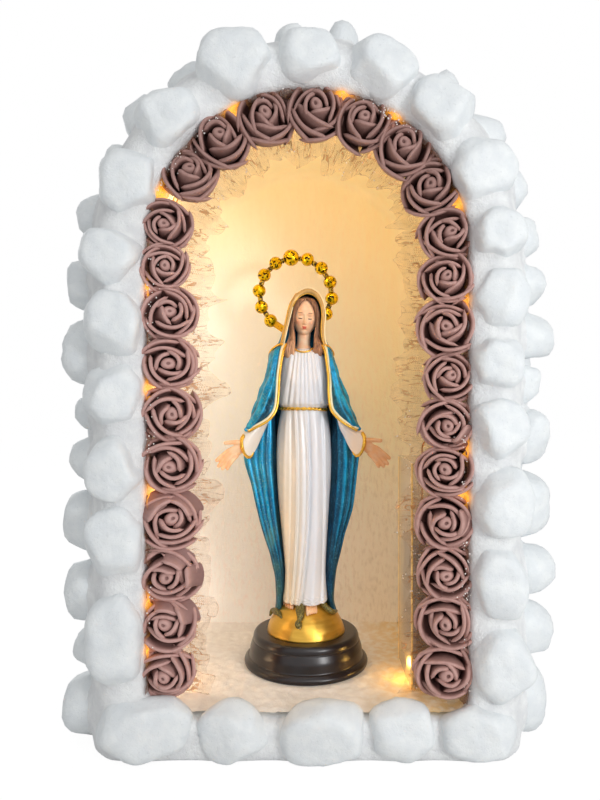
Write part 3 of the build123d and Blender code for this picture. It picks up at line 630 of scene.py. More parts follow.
def along(points):
    """How far along the mouth each point is, from the foot of its left side."""
    rise, over = SPRING - FLOOR_TOP, math.pi * NICHE_RADIUS
    turn = np.arctan2(np.maximum(points[:, 2] - SPRING, 0), points[:, 0])
    drop = np.maximum(SPRING - points[:, 2], 0)
    return rise + over - turn * NICHE_RADIUS + np.where(points[:, 0] < 0, -drop, drop)


rose_nodes = ("roses_left", "roses_arch", "roses_right")
rose_hearts = [corners.mean(axis=0) for node in rose_nodes for corners, _ in loose_parts(node)]
rose_runs = np.sort(along(np.array(rose_hearts)))
WISPS = (rose_runs[1:] + rose_runs[:-1]) / 2  # the net shows between one rose and the next


def gathered(reach, depth, ruffle, wave, ragged, wisp, seed, rows):
    """A gathered strip round the mouth. reach and depth are (where it is glued, its free edge).

    ragged is how uneven the free edge is, and wisp how far it comes out between two roses.
    """
    run, cosine, sine, base = along_mouth()
    count, draw = len(run), np.random.default_rng(seed)
    share = np.linspace(0, 1, rows)
    slow = np.array([noise.noise((r / 24, seed, 0)) + 0.5 * noise.noise((r / 8, seed, 3)) for r in run])
    phase = np.cumsum(1 + 0.9 * np.array([noise.noise((r / 11, seed, 5)) for r in run]))
    phase = phase * TULLE_STEP * 2 * math.pi / wave
    point = np.zeros(count)
    for heart in WISPS:
        off = run - heart - draw.uniform(-4, 4)
        width = np.where(off < 0, draw.uniform(4, 16), draw.uniform(4, 16))
        point = np.maximum(point, draw.uniform(0, 1.1) ** 1.5 * np.maximum(1 - np.abs(off) / width, 0))
    points = np.empty((rows, count, 3))
    for i, s in enumerate(share):
        fine = np.array([noise.noise((r / 3.2, 4 * s, seed + 9)) for r in run])
        swing = ruffle * s**0.7
        away = reach[0] + (reach[1] - reach[0]) * s + ragged * slow * s**2 - wisp * point * s**1.5
        away += swing * 0.5 * np.sin(phase * 0.53 + 3 * s) + 0.7 * fine
        y = depth[0] + (depth[1] - depth[0]) * s + swing * np.sin(phase + 1.8 * s) + 0.9 * fine
        shift = swing * 0.5 * np.cos(phase)
        points[i, :, 0] = away * cosine - shift * sine
        points[i, :, 1] = y
        points[i, :, 2] = base + away * sine + shift * np.abs(cosine)
    points[..., 2] = np.maximum(points[..., 2], FLOOR_TOP + 1.5)
    return points


def cloth_uv(piece, rows, columns, size):
    """Lays the strip out flat in its UV map, in millimetres."""
    layer = piece.data.uv_layers.new(name="flat")
    at = np.empty(len(piece.data.loops), dtype=int)
    piece.data.loops.foreach_get("vertex_index", at)
    flat = np.column_stack([(at % columns) / columns * size[1], (at // columns) / rows * size[0]])
    layer.data.foreach_set("uv", flat.ravel())


LAMP_HEARTS = np.array([corners.mean(axis=0) for corners, _ in loose_parts("lamps")])


def painted_lamp_glow(points, reach=13):
    """How much of the nearest lamps' light falls on each point, from 0 to 1, for a painted glow."""
    gap = np.linalg.norm(points[:, None] - LAMP_HEARTS[None], axis=2)
    return np.clip(np.exp(-((gap / reach) ** 2)).sum(axis=1), 0, 1)


LIT_GAPS = WISPS[np.abs(WISPS[:, None] - along(LAMP_HEARTS)[None]).argmin(axis=0)]
LIT_GAPS = np.append(LIT_GAPS, (731, 762))  # two beside the pack, lit by the end of the string


def gap_light(points, reach=5.6):
    """How much lamp light comes out past each point, through the nearest gap between two roses, for a painted
    glow.
    """
    gap = np.abs(along(points)[:, None] - LIT_GAPS[None])
    return np.exp(-((gap / reach) ** 2)).max(axis=1)


def tulle_finish(name, thread, pale, pitch, cover, body, fading, lit):
    """Hexagonal net: three families of threads, with the lamps' light painted into it as a glow.

    cover is how wide a thread is, as a share of the pitch, and body how much the crushed net
    hides between its threads. Past fading, the strip is a single open layer. lit is how strongly
    the lamps' light, painted on as a glow, shows in it.
    """
    material, shader, place = finish(name, 0.6, Emission_Strength=lit)
    flat = place.node("TexCoord", output=2)
    mask = None
    for angle in (0, 60, 120):
        slope = (math.cos(math.radians(angle)) / pitch, math.sin(math.radians(angle)) / pitch, 0)
        ramp = flat.node("VectorMath", {0: flat, 1: slope}, 1, operation="DOT_PRODUCT")
        line = 1 - ramp.math("PINGPONG", ramp, 0.5).step(cover * 0.5, cover)
        mask = line if mask is None else mask.math("MAXIMUM", mask, line)
    crush = place.noise(6, 4).step(0.42, 0.62)
    edge = place.value("edge")
    ridges, net = [], flat.node("VectorMath", {0: flat, 1: (METRE,) * 3}, operation="MULTIPLY")
    for size, stretch in ((8.0, (1.0, 4.0, 1.0)), (17.0, (0.8, 2.5, 1.0))):
        ripple = net.noise(size, 3, stretch) - 0.5
        ridges.append(1 - ripple.math("ABSOLUTE", ripple).step(0.0, 0.02))
    lines = mask.math("MAXIMUM", *ridges)
    fade = 1 - flat.node("SeparateXYZ", {0: flat}, output=1).step(fading * 0.45, fading) * 0.85
    patch = place.noise(10, 2).step(0.4, 0.6)
    cover_all = (body + mask * (0.08 + crush * 0.14)) * fade + lines * (0.08 + patch * (0.2 + fade * 0.3))
    cover_all = cover_all.math("MAXIMUM", cover_all, edge * patch * 0.35)
    shade = crush.math("MAXIMUM", lines, edge)
    feed(shader, Base_Color=shade.mix(pale, thread), Alpha=cover_all)
    # Painted lamp light: the net glows in the lamps' colour where their light falls.
    feed(shader, Emission_Color=place.value("painted_lamp_glow").mix("000000", "FFA92E"))
    return material


def tulle_piece(name, strip, material, width, length, light, *nodes):
    """A gathered strip as a piece, with the painted lamp glow on it and its free edge marked."""
    rows, columns = strip.shape[:2]
    piece = add(name, strip, sheet_faces(rows, columns), material, "tulle", *nodes)
    cloth_uv(piece, rows, columns, (width, length))
    paint_value(piece, "painted_lamp_glow", light(strip.reshape(-1, 3)))
    paint_value(piece, "edge", np.repeat(np.arange(rows) == rows - 1, columns))
    return piece


peach_tulle = tulle_finish("peach_tulle", "C48650", "F0C48E", 1.3, 0.16, 0.24, 54, 1.1)
brown_tulle = tulle_finish("brown_tulle", "7A5040", "B98C70", 1.2, 0.3, 0.35, 90, 1.8)
reach, depth = (NICHE_RADIUS - 1.0, NICHE_RADIUS - 37), (FRONT + 31, FRONT + 19)
strip = gathered(reach, depth, 2.6, 13.0, 11.0, 13.0, 2, 24)
tulle = tulle_piece("tulle_strip", strip, peach_tulle, 46, 950, painted_lamp_glow, "tulle_band")
reach, depth = (NICHE_RADIUS - 2.4, NICHE_RADIUS - 0.8), (FRONT + 16, FRONT - 5.5)
crushed = gathered(reach, depth, 0.9, 9.0, 1.5, 0.0, 7, 8)
edging = tulle_piece("tulle_edging", crushed, brown_tulle, 22, 850, gap_light)

# ---- glue beads --------------------------------------------------------------------------------
# Clear glitter beads, smaller than a pin's head, scattered over the net and the rims of the roses
# and held by the glue.
BEADS, CROWDS = 330, 26  # how many beads there are, and the places that they crowd round


def two_tone(name, roughness, size, detail, first, second, **fixed):
    """A material whose colour wanders between two, in lumps of a size in millimetres."""
    material, shader, place = finish(name, roughness, **fixed)
    feed(shader, Base_Color=place.noise(size, detail).mix(first, second))
    return material, shader, place


bead_gloss = two_tone("glitter_bead", 0.15, 2, 2, "F3E7DC", "FFFFFF")[0]
draw = np.random.default_rng(91)
round_bead, bead_faces = ball(1)
forms, columns = [], crushed.shape[1]
crowd = draw.uniform(0, columns, CROWDS)
for _ in range(BEADS):
    column = int(draw.choice(crowd) + draw.normal() * 9) % columns
    inside = draw.uniform() < 0.35
    rim = crushed[-1, column]
    outward = unit(rim * (1, 0, 1) - (0, 0, max(min(rim[2], SPRING), 0)))
    at = rim + (0, draw.uniform(-1.5, 0.5), 0) + draw.normal(size=3) * (0.8, 0, 0.8)
    at -= outward * abs(draw.normal()) * 3.0
    if inside:
        at = strip[draw.integers(16, 23), column] + (0, -0.4, 0)
    forms.append((round_bead * draw.uniform(0.3, 0.62) + at, bead_faces))
add("glitter_beads", *joined(*forms), bead_gloss, "tulle")

# ---- lamps -------------------------------------------------------------------------------------
# A string of small warm lamps behind the roses: a drop of clear resin cast over each chip, on a
# copper wire that runs up out of the battery pack and round the mouth.
LAMP_LIGHT, CORNER_LIGHT = 0.0133, 0.022  # power of one lamp, and of the end of the string
CORNER_LAMP = (70, -36, FLOOR_TOP + 13)  # that end, tucked in behind the lowest rose


def lamp_at(name, kind, place, power, colour, size):
    """A lamp of a size at a place, both in millimetres."""
    data = bpy.data.lights.new(name, kind)
    data.energy, data.color = power, colour
    if kind == "AREA":
        data.shape, data.size = "DISK", size * METRE
    else:
        data.shadow_soft_size = size * METRE
    lamp = bpy.data.objects.new(name, data)
    lamp.location = Vector(place) * METRE
    bpy.context.scene.collection.objects.link(lamp)
    return lamp


def coat(node, material):
    """Paints a CAD node that is shown as it is."""
    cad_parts[node].data.materials.clear()
    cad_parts[node].data.materials.append(material)


settings = {"Emission_Color": ink("FFB53C"), "Emission_Strength": 6.0}
resin = two_tone("lamp_resin", 0.25, 1.5, 1, "FFE6B8", "FFC873", **settings)[0]
directions, triangles = ball(3)
drop = directions * (1.7, 1.7, 2.0) * (1 - 0.12 * directions[:, 2:] ** 3)
for heart in LAMP_HEARTS:
    inward = unit(np.array([-heart[0], -6.0, min(0.0, SPRING - heart[2])]))
    lamp_at("lamp_light", "POINT", heart + 4 * inward, LAMP_LIGHT, (1.0, 0.8, 0.55), 2)
lamp_at("corner_light", "POINT", CORNER_LAMP, CORNER_LIGHT, (1.0, 0.56, 0.12), 4)
drops = joined(*((drop + heart, triangles) for heart in LAMP_HEARTS))
add("lamp_drops", *drops, resin, "lamp", "lamps")
coat("lamp_wire", two_tone("copper_wire", 0.35, 2, 2, "B87333", "D9A066", Metallic=0.9)[0])

# ---- battery pack ------------------------------------------------------------------------------
# The pack stands in a clear acrylic case at the lower right, open at the top for the wire. The
# case's edges are polished, and its faces show only as a pale film.
settings = {"Base_Color": ink("F3E6CF"), "Coat_Weight": 0.2}
acrylic, acrylic_shader, place = finish("clear_acrylic", 0.3, **settings)
edge = place.node("LayerWeight", {"Blend": 0.25}, output=1)
feed(acrylic_shader, Alpha=0.14 + edge * 0.3 + place.noise(30, 2) * 0.1)
coat("battery_case", acrylic)

# The polished edges of the sheets carry the lamps' light along them, painted on as a warm gold colour and a
# glow.
EDGE, SIDES, LEVELS = 0.7, 8, 24  # radius of an edge, points round it and rings along it
case_low, case_high = box("battery_case")
gold_edge, edge_shader, place = finish("lit_acrylic_edge", 0.2, Emission_Strength=0.3)
along_edge = place.noise(9, 2).step(0.3, 0.7)
feed(edge_shader, Base_Color=along_edge.mix("E9C176", "FBE2A6"))
feed(edge_shader, Emission_Color=along_edge.mix("C98B2C", "FFC653"))
ring = [(0.6 + EDGE * math.cos(a), 0.6 + EDGE * math.sin(a)) for a in full_turn(SIDES)]
heights = np.linspace(case_low[2] + 1, case_high[2] - 1, LEVELS)
forms = []
for x, y in ((case_low[0], case_low[1]), (case_low[0], case_high[1]), (case_high[0], case_low[1])):
    points = [(x + dx, y + dy, z) for z in heights for dx, dy in ring]
    forms.append((points, tube_faces(LEVELS, SIDES)))
add("case_edges", *joined(*forms), gold_edge, "clear_plastic")

grey_case, grey_shader, place = two_tone("grey_moulding", 0.45, 6, 2, "6E6B72", "8A868C")
relief(grey_shader, place.noise(0.6, 1), 0.08)
coat("battery_pack", grey_case)

# ---- plinth ------------------------------------------------------------------------------------
# A round turned plinth, sprayed satin dark brown: a spread foot, a tall sloping drum and a cap with
# a rounded edge.
def turned(profile, turns):
    """A closed form turned about the figure's axis, from (radius, height) up the profile."""
    points = [(r * math.cos(a), r * math.sin(a), z) for r, z in profile for a in full_turn(turns)]
    return points, tube_faces(len(profile), turns)


def rounded(corners, radius, steps=5):
    """The line through these corners, each inner corner rounded."""
    corners = [np.array(c, float) for c in corners]
    line = [corners[0]]
    for before, corner, after in zip(corners, corners[1:], corners[2:]):
        to_before, to_after = before - corner, after - corner
        size = min(radius, 0.48 * np.linalg.norm(to_before), 0.48 * np.linalg.norm(to_after))
        start, end = corner + unit(to_before) * size, corner + unit(to_after) * size
        for t in np.linspace(0, 1, steps + 1):
            line.append((1 - t) ** 2 * start + 2 * t * (1 - t) * corner + t * t * end)
    return line + [corners[-1]]


TURNS = 128  # points round the plinth and the globe
PLINTH_RISE = plinth_high[2] - plinth_low[2]
outline = ((0.4, 0.0), (0.0, 3.4), (2.6, 5.8), (3.6, 5.9), (3.9, 6.7), (4.6, 12.5), (6.3, 17.4))
outline += ((6.9, 17.9), (6.7, 18.7), (7.0, 21.4), (8.6, PLINTH_RISE), (FOOT - 0.6, PLINTH_RISE))
profile = [(0.6, 0.0)] + [(FOOT - inward, z) for inward, z in outline]
profile = rounded([(r, plinth_low[2] + z) for r, z in profile], 1.5)
settings = {"Coat_Weight": 0.3, "Coat_Roughness": 0.24, "Specular_IOR_Level": 0.38}
brown_lacquer, lacquer_shader, place = two_tone(
    "brown_lacquer", 0.3, 9, 3, "161013", "211819", **settings
)
relief(lacquer_shader, place.noise(1.2, 2), 0.05)
add("turned_plinth", *turned(profile, TURNS), brown_lacquer, "dark_wood", "plinth")

# ---- globe, serpent and feet -------------------------------------------------------------------
# The figure stands on the top of a gilt globe, its toes out from under the hem, on a serpent: the
# tail and body show at the sides and the head hangs down the front. All cast in one resin piece.
globe_low, globe_high = box("globe")
GLOBE_TOP = globe_high[2]
rise = GLOBE_TOP - globe_low[2]
GLOBE_RADIUS = (globe_high[0] ** 2 + rise**2) / (2 * rise)
GLOBE_HEART = np.array([0, 0, GLOBE_TOP - GLOBE_RADIUS])
edge_angle = math.acos((globe_low[2] - GLOBE_HEART[2]) / GLOBE_RADIUS)
profile = [(0.5, globe_low[2] - 0.3)]
for angle in np.linspace(edge_angle, 0.02, 48):
    profile.append((GLOBE_RADIUS * math.sin(angle), GLOBE_HEART[2] + GLOBE_RADIUS * math.cos(angle)))
points, faces = turned(profile, TURNS)
points = np.array(points)
points += (points - GLOBE_HEART) / GLOBE_RADIUS * 0.22 * lumps(points, 6, 4.0)[:, None]

gilt, gilt_shader, place = finish("brushed_gilt", 0.3, Metallic=0.85)
brushed = place.noise(2.5, 3, (6, 6, 1))
feed(gilt_shader, Base_Color=brushed.mix("C08C2E", "E9BE56"), Roughness=0.24 + brushed * 0.2)
relief(gilt_shader, brushed, 0.12)
add("gilt_globe", points, faces, gilt, "gilt", "globe")


def on_globe(x, z, out=0.0):
    """The point on the front of the globe at (x, z), a little way out from its surface."""
    reach = GLOBE_RADIUS + out
    y = -math.sqrt(max(reach**2 - x**2 - (z - GLOBE_HEART[2]) ** 2, 0))
    return np.array([x, y, z])


def smooth_line(marks, steps):
    """A smooth curve through these points, as steps points between each two."""
    marks = np.asarray(marks, float)
    padded = np.vstack([2 * marks[0] - marks[1], marks, 2 * marks[-1] - marks[-2]])
    line = []
    for i in range(len(marks) - 1):
        a, b, c, d = padded[i : i + 4]
        bend, swerve = 2 * a - 5 * b + 4 * c - d, 3 * b - a - 3 * c + d
        for t in np.linspace(0, 1, steps, endpoint=False):
            line.append(0.5 * (2 * b + (c - a) * t + bend * t**2 + swerve * t**3))
    return np.array(line + [marks[-1]])


def swept(marks, widths, heights, up, sides=16, steps=8, grooves=0.0, count=5):
    """A rounded form along a smooth line, with half sizes that are the same or one for each mark.

    up is roughly the way that the heights point. grooves is the depth, as a share, of count
    grooves along it.
    """
    line = smooth_line(marks, steps)
    halves = [np.broadcast_to(half, len(marks)) for half in (widths, heights)]
    sizes = smooth_line(np.column_stack(halves), steps)
    heading = unit(np.gradient(line, axis=0))
    across = unit(np.cross(heading, np.broadcast_to(np.asarray(up, float), heading.shape)))
    rise = np.cross(across, heading)
    angles = full_turn(sides)
    shape = 1 - grooves * (0.5 + 0.5 * np.cos(count * angles))
    rings = line[:, None] + (
        across[:, None] * (np.cos(angles) * shape)[None, :, None] * sizes[:, None, :1]
        + rise[:, None] * (np.sin(angles) * shape)[None, :, None] * sizes[:, None, 1:]
    )
    return rings.reshape(-1, 3), tube_faces(len(line), sides)


FRONTWARD = (0, -1, 0.3)


def along_globe(marks, sides=16, steps=8):
    """A form that lies on the globe: (x, z, how far out, half width, half height) at its marks."""
    line = [on_globe(x, z, out) for x, z, out, _, _ in marks]
    return swept(line, [mark[3] for mark in marks], [mark[4] for mark in marks], FRONTWARD, sides, steps)


TAIL = ((-27.3, 63.5, 0.6, 0.6, 0.5), (-25.2, 67.4, 1.2, 1.9, 1.2), (-21.8, 69.0, 1.6, 2.3, 1.5))
TAIL += ((-19.4, 68.2, 0.9, 1.5, 1.1), (-17.8, 66.6, 0.2, 0.5, 0.4))
BODY = ((10.5, 75.6, 0.6, 1.5, 1.2), (12.8, 74.6, 1.6, 2.0, 1.6), (17.0, 71.6, 1.8, 2.1, 1.7))
BODY += ((20.0, 69.6, 1.4, 1.8, 1.5), (23.2, 67.4, 0.6, 1.0, 0.8))
NECK = ((-4.6, 76.4, 1.2, 3.0, 1.6), (-4.4, 74.4, 2.4, 3.4, 2.0), (-4.2, 71.6, 2.6, 2.9, 2.0))
NECK += ((-4.6, 69.0, 2.2, 2.0, 1.7), (-5.3, 67.2, 2.0, 1.6, 1.4))
SKULL = ((-5.3, 67.8, 2.2, 1.7, 1.3), (-5.7, 66.4, 3.2, 2.5, 1.6), (-6.1, 64.8, 3.0, 2.1, 1.3))
SKULL += ((-6.5, 63.6, 2.2, 0.9, 0.6),)
JAW = ((-4.8, 67.0, 0.9, 1.0, 0.6), (-4.2, 65.4, 1.4, 1.3, 0.7), (-3.8, 64.0, 1.2, 0.6, 0.4))
serpent = joined(*(along_globe(marks) for marks in (TAIL, BODY, NECK, SKULL, JAW)))
serpent_paint, serpent_shader, place = finish("serpent_bronze", 0.4, Metallic=0.35)
scales = place.node("TexVoronoi", {"Vector": place, "Scale": 900.0})
feed(serpent_shader, Base_Color=scales.step(0.1, 0.7).mix("39371F", "87793C"))
relief(serpent_shader, scales, 0.25)
add("serpent_coils", *serpent, serpent_paint, "serpent_paint", "serpent")
fangs = []
for x, z in ((-6.9, 64.2), (-5.7, 63.8), (-4.5, 64.0)):
    marks = ((x, z + 0.9, 2.4, 0.5, 0.5), (x, z, 2.4, 0.42, 0.42), (x, z - 1.1, 1.6, 0.1, 0.1))
    fangs.append(along_globe(marks, 8, 3))
ivory = two_tone("ivory_paint", 0.4, 1.5, 1, "DCD5A6", "F1ECCB")[0]
add("serpent_fangs", *joined(*fangs), ivory, "serpent_paint")

toes = []
for x, size in ((0.7, 1.25), (2.5, 1.1), (4.1, 1.05), (5.6, 0.95), (7.0, 0.9)):
    tip = 70.2 + 0.25 * (x - 0.7)
    marks = [(x - 0.4, 76.4, -0.6, size, size), (x, 74.2, 1.0, size, size)]
    marks += [(x + 0.2, 72.0, 1.1, size, size * 0.9), (x + 0.3, tip, 0.5, size * 0.5, size * 0.4)]
    toes.append(along_globe(marks, 12, 6))
for x in (-16.4, -14.6, -12.9, -11.3, -9.9):
    marks = ((x + 0.8, 75.4, -0.8, 1.1, 1.1), (x, 74.0, 0.6, 1.0, 0.9), (x - 0.2, 72.6, 0.2, 0.5, 0.4))
    toes.append(along_globe(marks, 12, 6))
skin, skin_shader, place = finish("skin_paint", 0.42)
blush = place.noise(5, 2).step(0.35, 0.7)
paint = blush.mix("FFC48E", "FFDAB0")
# Painted light and shade: past x = 30, on the hand there, the skin is turned a deep lamp-lit orange.
feed(skin_shader, Base_Color=(place.axis(0).step(30, 42) * 0.4).mix(paint, "D08038"))
add("toes", *joined(*toes), skin, "skin_paint", "feet")

# ---- gown and belt -----------------------------------------------------------------------------
# The gown is cast in one with the figure and sprayed pearl white: fine pleats gathered at the
# neckline and bloused over a thin twisted cord, then long folds down to a hem over the feet.
GOWN_SHAPE = (  # height, left side, right side, front, back
    (264.2, -7.5, 4.6, -7.4, 5),
    (262.6, -11.5, 8.8, -10.6, 7),
    (259.0, -17.6, 14.8, -12.6, 8),
    (250.0, -20.4, 17.2, -14.6, 9),
    (240.0, -21.8, 18.4, -16.0, 10),
    (230.0, -22.4, 18.6, -15.8, 10),
    (224.0, -21.4, 18.0, -15.0, 9),
    (221.7, -19.6, 16.4, -13.6, 9),
    (219.4, -18.5, 15.2, -13.0, 9),
    (217.2, -18.9, 15.6, -13.4, 9),
    (208.0, -20.6, 17.4, -14.4, 10),
    (195.0, -21.9, 18.6, -15.2, 11),
    (173.5, -22.0, 18.9, -15.8, 11),
    (150.0, -20.6, 17.5, -15.8, 11),
    (122.0, -17.8, 15.8, -15.2, 11),
    (100.0, -15.8, 14.8, -14.8, 11),
    (85.0, -16.3, 15.4, -15.4, 11),
    (78.2, -17.3, 16.0, -16.0, 12),
    (76.0, -16.7, 15.4, -15.4, 11),
    (76.6, -13.0, 12.0, -11.0, 8),
)
LONG_FOLDS = (  # where it is at the belt, the knee and the hem, its width, and how far it stands out
    (-14.5, -16.5, -13.9, 1.5, 0.7),
    (-10.9, -11.0, -12.6, 1.0, -0.8),
    (-8.6, -7.4, -11.0, 0.7, 1.2),
    (-6.6, -5.2, -9.2, 0.8, -0.9),
    (-4.6, -2.4, -7.2, 1.3, 0.6),
    (-1.2, 1.0, -5.2, 0.65, 1.2),
    (1.5, 2.8, -3.2, 0.8, -1.6),
    (6.2, 7.6, 4.6, 3.4, 1.3),
    (10.9, 12.4, 10.6, 0.9, -0.8),
    (13.2, 14.8, 13.0, 0.9, 0.6),
)
PLEATS = (  # where it is at the neckline and above the belt, its width, and how far it stands out
    (-11.2, -17.6, 1.3, 0.7),
    (-9.0, -14.0, 0.7, -0.7),
    (-8.0, -12.2, 0.7, 0.9),
    (-6.4, -9.9, 0.7, -0.8),
    (-5.4, -7.6, 1.0, 0.9),
    (-4.0, -5.2, 0.55, -1.0),
    (-3.0, -3.6, 0.7, 0.9),
    (-1.8, -1.6, 0.6, -0.9),
    (-0.8, -0.1, 0.6, 0.9),
    (0.4, 1.6, 0.55, -1.0),
    (1.5, 3.4, 0.8, 0.9),
    (3.2, 5.7, 0.7, -0.8),
    (4.8, 8.4, 1.4, 0.9),
    (6.9, 11.4, 0.7, -0.8),
    (8.6, 13.6, 1.0, 0.7),
)
GOWN_ROWS, GOWN_FRONT, GOWN_BACK = 13, 150, 30  # rows between two heights, points of a row


def round_row(left, right, front, back, turns):
    """The points of a body's outline at one height, turning from its left side by the front."""
    across, along = np.cos(turns), np.sin(turns)
    x = (left + right) / 2 - (right - left) / 2 * np.sign(across) * np.abs(across) ** 0.86
    deep = np.where(along > 0, front, back)
    y = deep * np.abs(along) ** 0.86
    return x, y


behind = np.linspace(math.pi + 0.22, 2 * math.pi - 0.22, GOWN_BACK)
turns = np.concatenate([np.linspace(-0.12, math.pi + 0.12, GOWN_FRONT), behind])
shape = smooth_line(GOWN_SHAPE, GOWN_ROWS)
points = np.empty((len(shape), len(turns), 3))
for i, (z, left, right, front, back) in enumerate(shape):
    x, y = round_row(left, right, front, back, turns)
    facing = np.clip(np.sin(turns) * 2.2, 0, 1)
    push = np.zeros_like(x)
    down = np.clip((218 - z) / 140, 0, 1)
    if z < 219 and i > 8 * GOWN_ROWS:
        ramp = min(1.0, (219 - z) / 14 + 0.25)
        for belt_x, knee_x, hem_x, width, height in LONG_FOLDS:
            at = (1 - down) * (1 - 2 * down) * belt_x + 4 * down * (1 - down) * knee_x
            at += down * (2 * down - 1) * hem_x
            push += 1.35 * height * ramp * np.exp(-(((x - at) / width) ** 2))
    elif z > 220:
        share = np.clip((258 - z) / 36, 0, 1)
        ramp = np.clip((263.6 - z) / 5, 0, 1) * np.clip((z - 219.6) / 4, 0.3, 1)
        for neck_x, belt_x, width, height in PLEATS:
            at = neck_x + (belt_x - neck_x) * share
            push += 0.8 * height * ramp * np.exp(-(((x - at) / (width * (0.8 + 0.5 * share))) ** 2))
        for side in (-9.5, 7.0):
            push += 1.3 * np.exp(-(((x - side) / 5) ** 2) - ((z - 241) / 8) ** 2)
    hem = np.exp(-(((z - 79.5) / 2.6) ** 2))
    push += hem * 0.4 * np.sin(x * 1.1 + 3 * np.sin(z * 1.4))
    points[i, :, 0], points[i, :, 1], points[i, :, 2] = x, y - push * facing, z
points[..., 1] -= 0.18 * lumps(points, 5, 11.0)
pearl, pearl_shader, place = finish("pearl_white", 0.38, Metallic=0.05, Coat_Weight=0.35)
# Painted lamp light: a gold sheen low down on the gown towards negative x.
warm = (1 - place.axis(0).step(-15, 6)) * (1 - place.axis(2).step(130, 290)) * 0.58
paint = place.noise(8, 3, (1, 1, 4)).mix("E9EBF2", "F6F8FC")
paint = warm.mix(paint, "F9DCA2")
# Painted lamp light: past x = 24, on the sleeve there, the pearl is tinted orange.
feed(pearl_shader, Base_Color=(place.axis(0).step(24, 36) * 0.5).mix(paint, "FFC878"))
relief(pearl_shader, place.noise(1.5, 2, (1, 1, 3)), 0.08)
add("pleated_gown", points, tube_faces(*points.shape[:2]), pearl, "gown_paint", "gown")

gold, gold_shader, place = two_tone("bright_gold", 0.26, 2.5, 3, "D39A2A", "F4C95A", Metallic=0.8)
relief(gold_shader, place.noise(0.8, 2), 0.06)
cream = two_tone("cream_gold", 0.36, 3, 2, "F3DFA0", "FFF6DA", Metallic=0.25)[0]

turns = np.linspace(0, 2 * math.pi, 90)
x, y = round_row(-19.3, 16.0, -14.4, 9.6, turns)
dip = 219.6 - 0.9 * np.clip((x - 2) / 14, 0, 1) ** 2
strands = []
for phase in (0.0, math.pi):
    twist = 15 * turns + phase
    lean = 0.45 * np.cos(twist)
    marks = np.column_stack([x * (1 + lean / 24), y * (1 + lean / 18), dip + 0.58 * np.sin(twist)])
    strands.append(swept(marks, 0.72, 0.72, (0, 0, 1), 10, 2))
add("twisted_cord", *joined(*strands), gold, "gilt", "belt")

marks = [(-9.0, -8.2, 264.6), (-6.6, -11.0, 262.4), (-2.2, -12.4, 261.2)]
marks += [(2.4, -11.4, 262.2), (4.8, -9.0, 264.2)]
collar = swept(marks, 0.6, 0.8, (0, -1, 0.4), 10, 6)
add("gown_neckline", *collar, gold, "gilt")

# ---- mantle ------------------------------------------------------------------------------------
# The mantle falls from the head over the shoulders and forearms, and hangs behind the gown to the
# globe. It is sprayed metallic blue with a gold and cream edge; painted shade darkens its folds and
# painted highlight lightens their crests.
MANTLE_SHAPE = (  # height, inner and outer edge on the left, outer and inner on the right, depth, back
    (266.0, -14.0, -21.0, 17.0, 11.0, -3.0, 14.5),
    (258.0, -20.0, -27.6, 20.9, 16.0, -4.0, 16.0),
    (243.0, -22.0, -30.4, 24.8, 18.5, -5.0, 17.0),
    (230.0, -23.0, -34.4, 29.0, 19.5, -6.0, 17.0),
    (220.0, -24.0, -37.4, 32.2, 20.0, -7.0, 17.0),
    (212.0, -24.0, -40.8, 35.8, 20.2, -7.5, 17.0),
    (203.0, -23.4, -43.6, 39.0, 20.0, -7.5, 17.0),
    (193.0, -22.8, -44.9, 39.4, 19.8, -7.5, 17.0),
    (182.7, -22.4, -44.9, 38.7, 19.6, -7.5, 17.0),
    (173.0, -22.2, -42.4, 37.6, 19.4, -7.5, 17.0),
    (162.0, -21.6, -39.4, 36.2, 18.8, -7.0, 17.0),
    (146.0, -20.4, -35.9, 34.0, 17.6, -6.5, 16.5),
    (125.0, -18.2, -31.0, 28.6, 16.2, -6.0, 16.0),
    (111.0, -16.6, -26.8, 25.4, 15.3, -5.5, 15.5),
    (97.0, -15.2, -23.8, 22.4, 14.7, -5.0, 15.5),
    (86.0, -15.4, -22.6, 21.2, 14.8, -4.5, 15.5),
    (76.0, -16.6, -22.2, 20.9, 15.6, -4.0, 15.5),
    (69.0, -17.4, -22.8, 22.6, 16.4, -4.0, 15.5),
)
MANTLE_THICK = 1.3
CAPE_LEFT = (  # rows from the shoulder to the wrist: edge, front, outer side, behind
    ((-15.6, -8, 268.0), (-19.5, -9, 265.8), (-24.6, -4, 263.0), (-23.6, 5, 262.2)),
    ((-17.8, -12, 262.0), (-22.4, -13, 260.8), (-27.6, -5, 259.6), (-26.8, 5, 258.5)),
    ((-19.6, -15, 251.0), (-24.5, -16.6, 250.4), (-29.2, -7, 250.0), (-28.2, 4, 249.0)),
    ((-20.6, -17, 242.0), (-26.0, -19.0, 241.5), (-31.4, -9, 241.0), (-30.2, 3, 240.0)),
    ((-21.2, -18.5, 231.0), (-28.3, -21.8, 231.0), (-34.8, -10, 230.5), (-33.2, 2, 229.0)),
    ((-22.4, -19.5, 220.6), (-31.0, -23.4, 220.5), (-37.9, -13, 220.0), (-36.2, 1, 218.0)),
    ((-26.2, -21, 213.8), (-33.9, -24.2, 213.6), (-40.3, -15, 214.0), (-38.6, 0, 211.0)),
    ((-31.5, -22, 209.9), (-36.9, -23.8, 209.8), (-42.0, -17, 209.2), (-40.4, -1, 206.0)),
    ((-37.2, -22.5, 207.0), (-40.5, -22.6, 206.6), (-43.2, -18, 206.2), (-42.0, -3, 203.0)),
    ((-42.2, -21, 204.2), (-43.0, -20.6, 204.4), (-43.7, -19, 204.6), (-43.0, -8, 202.0)),
)
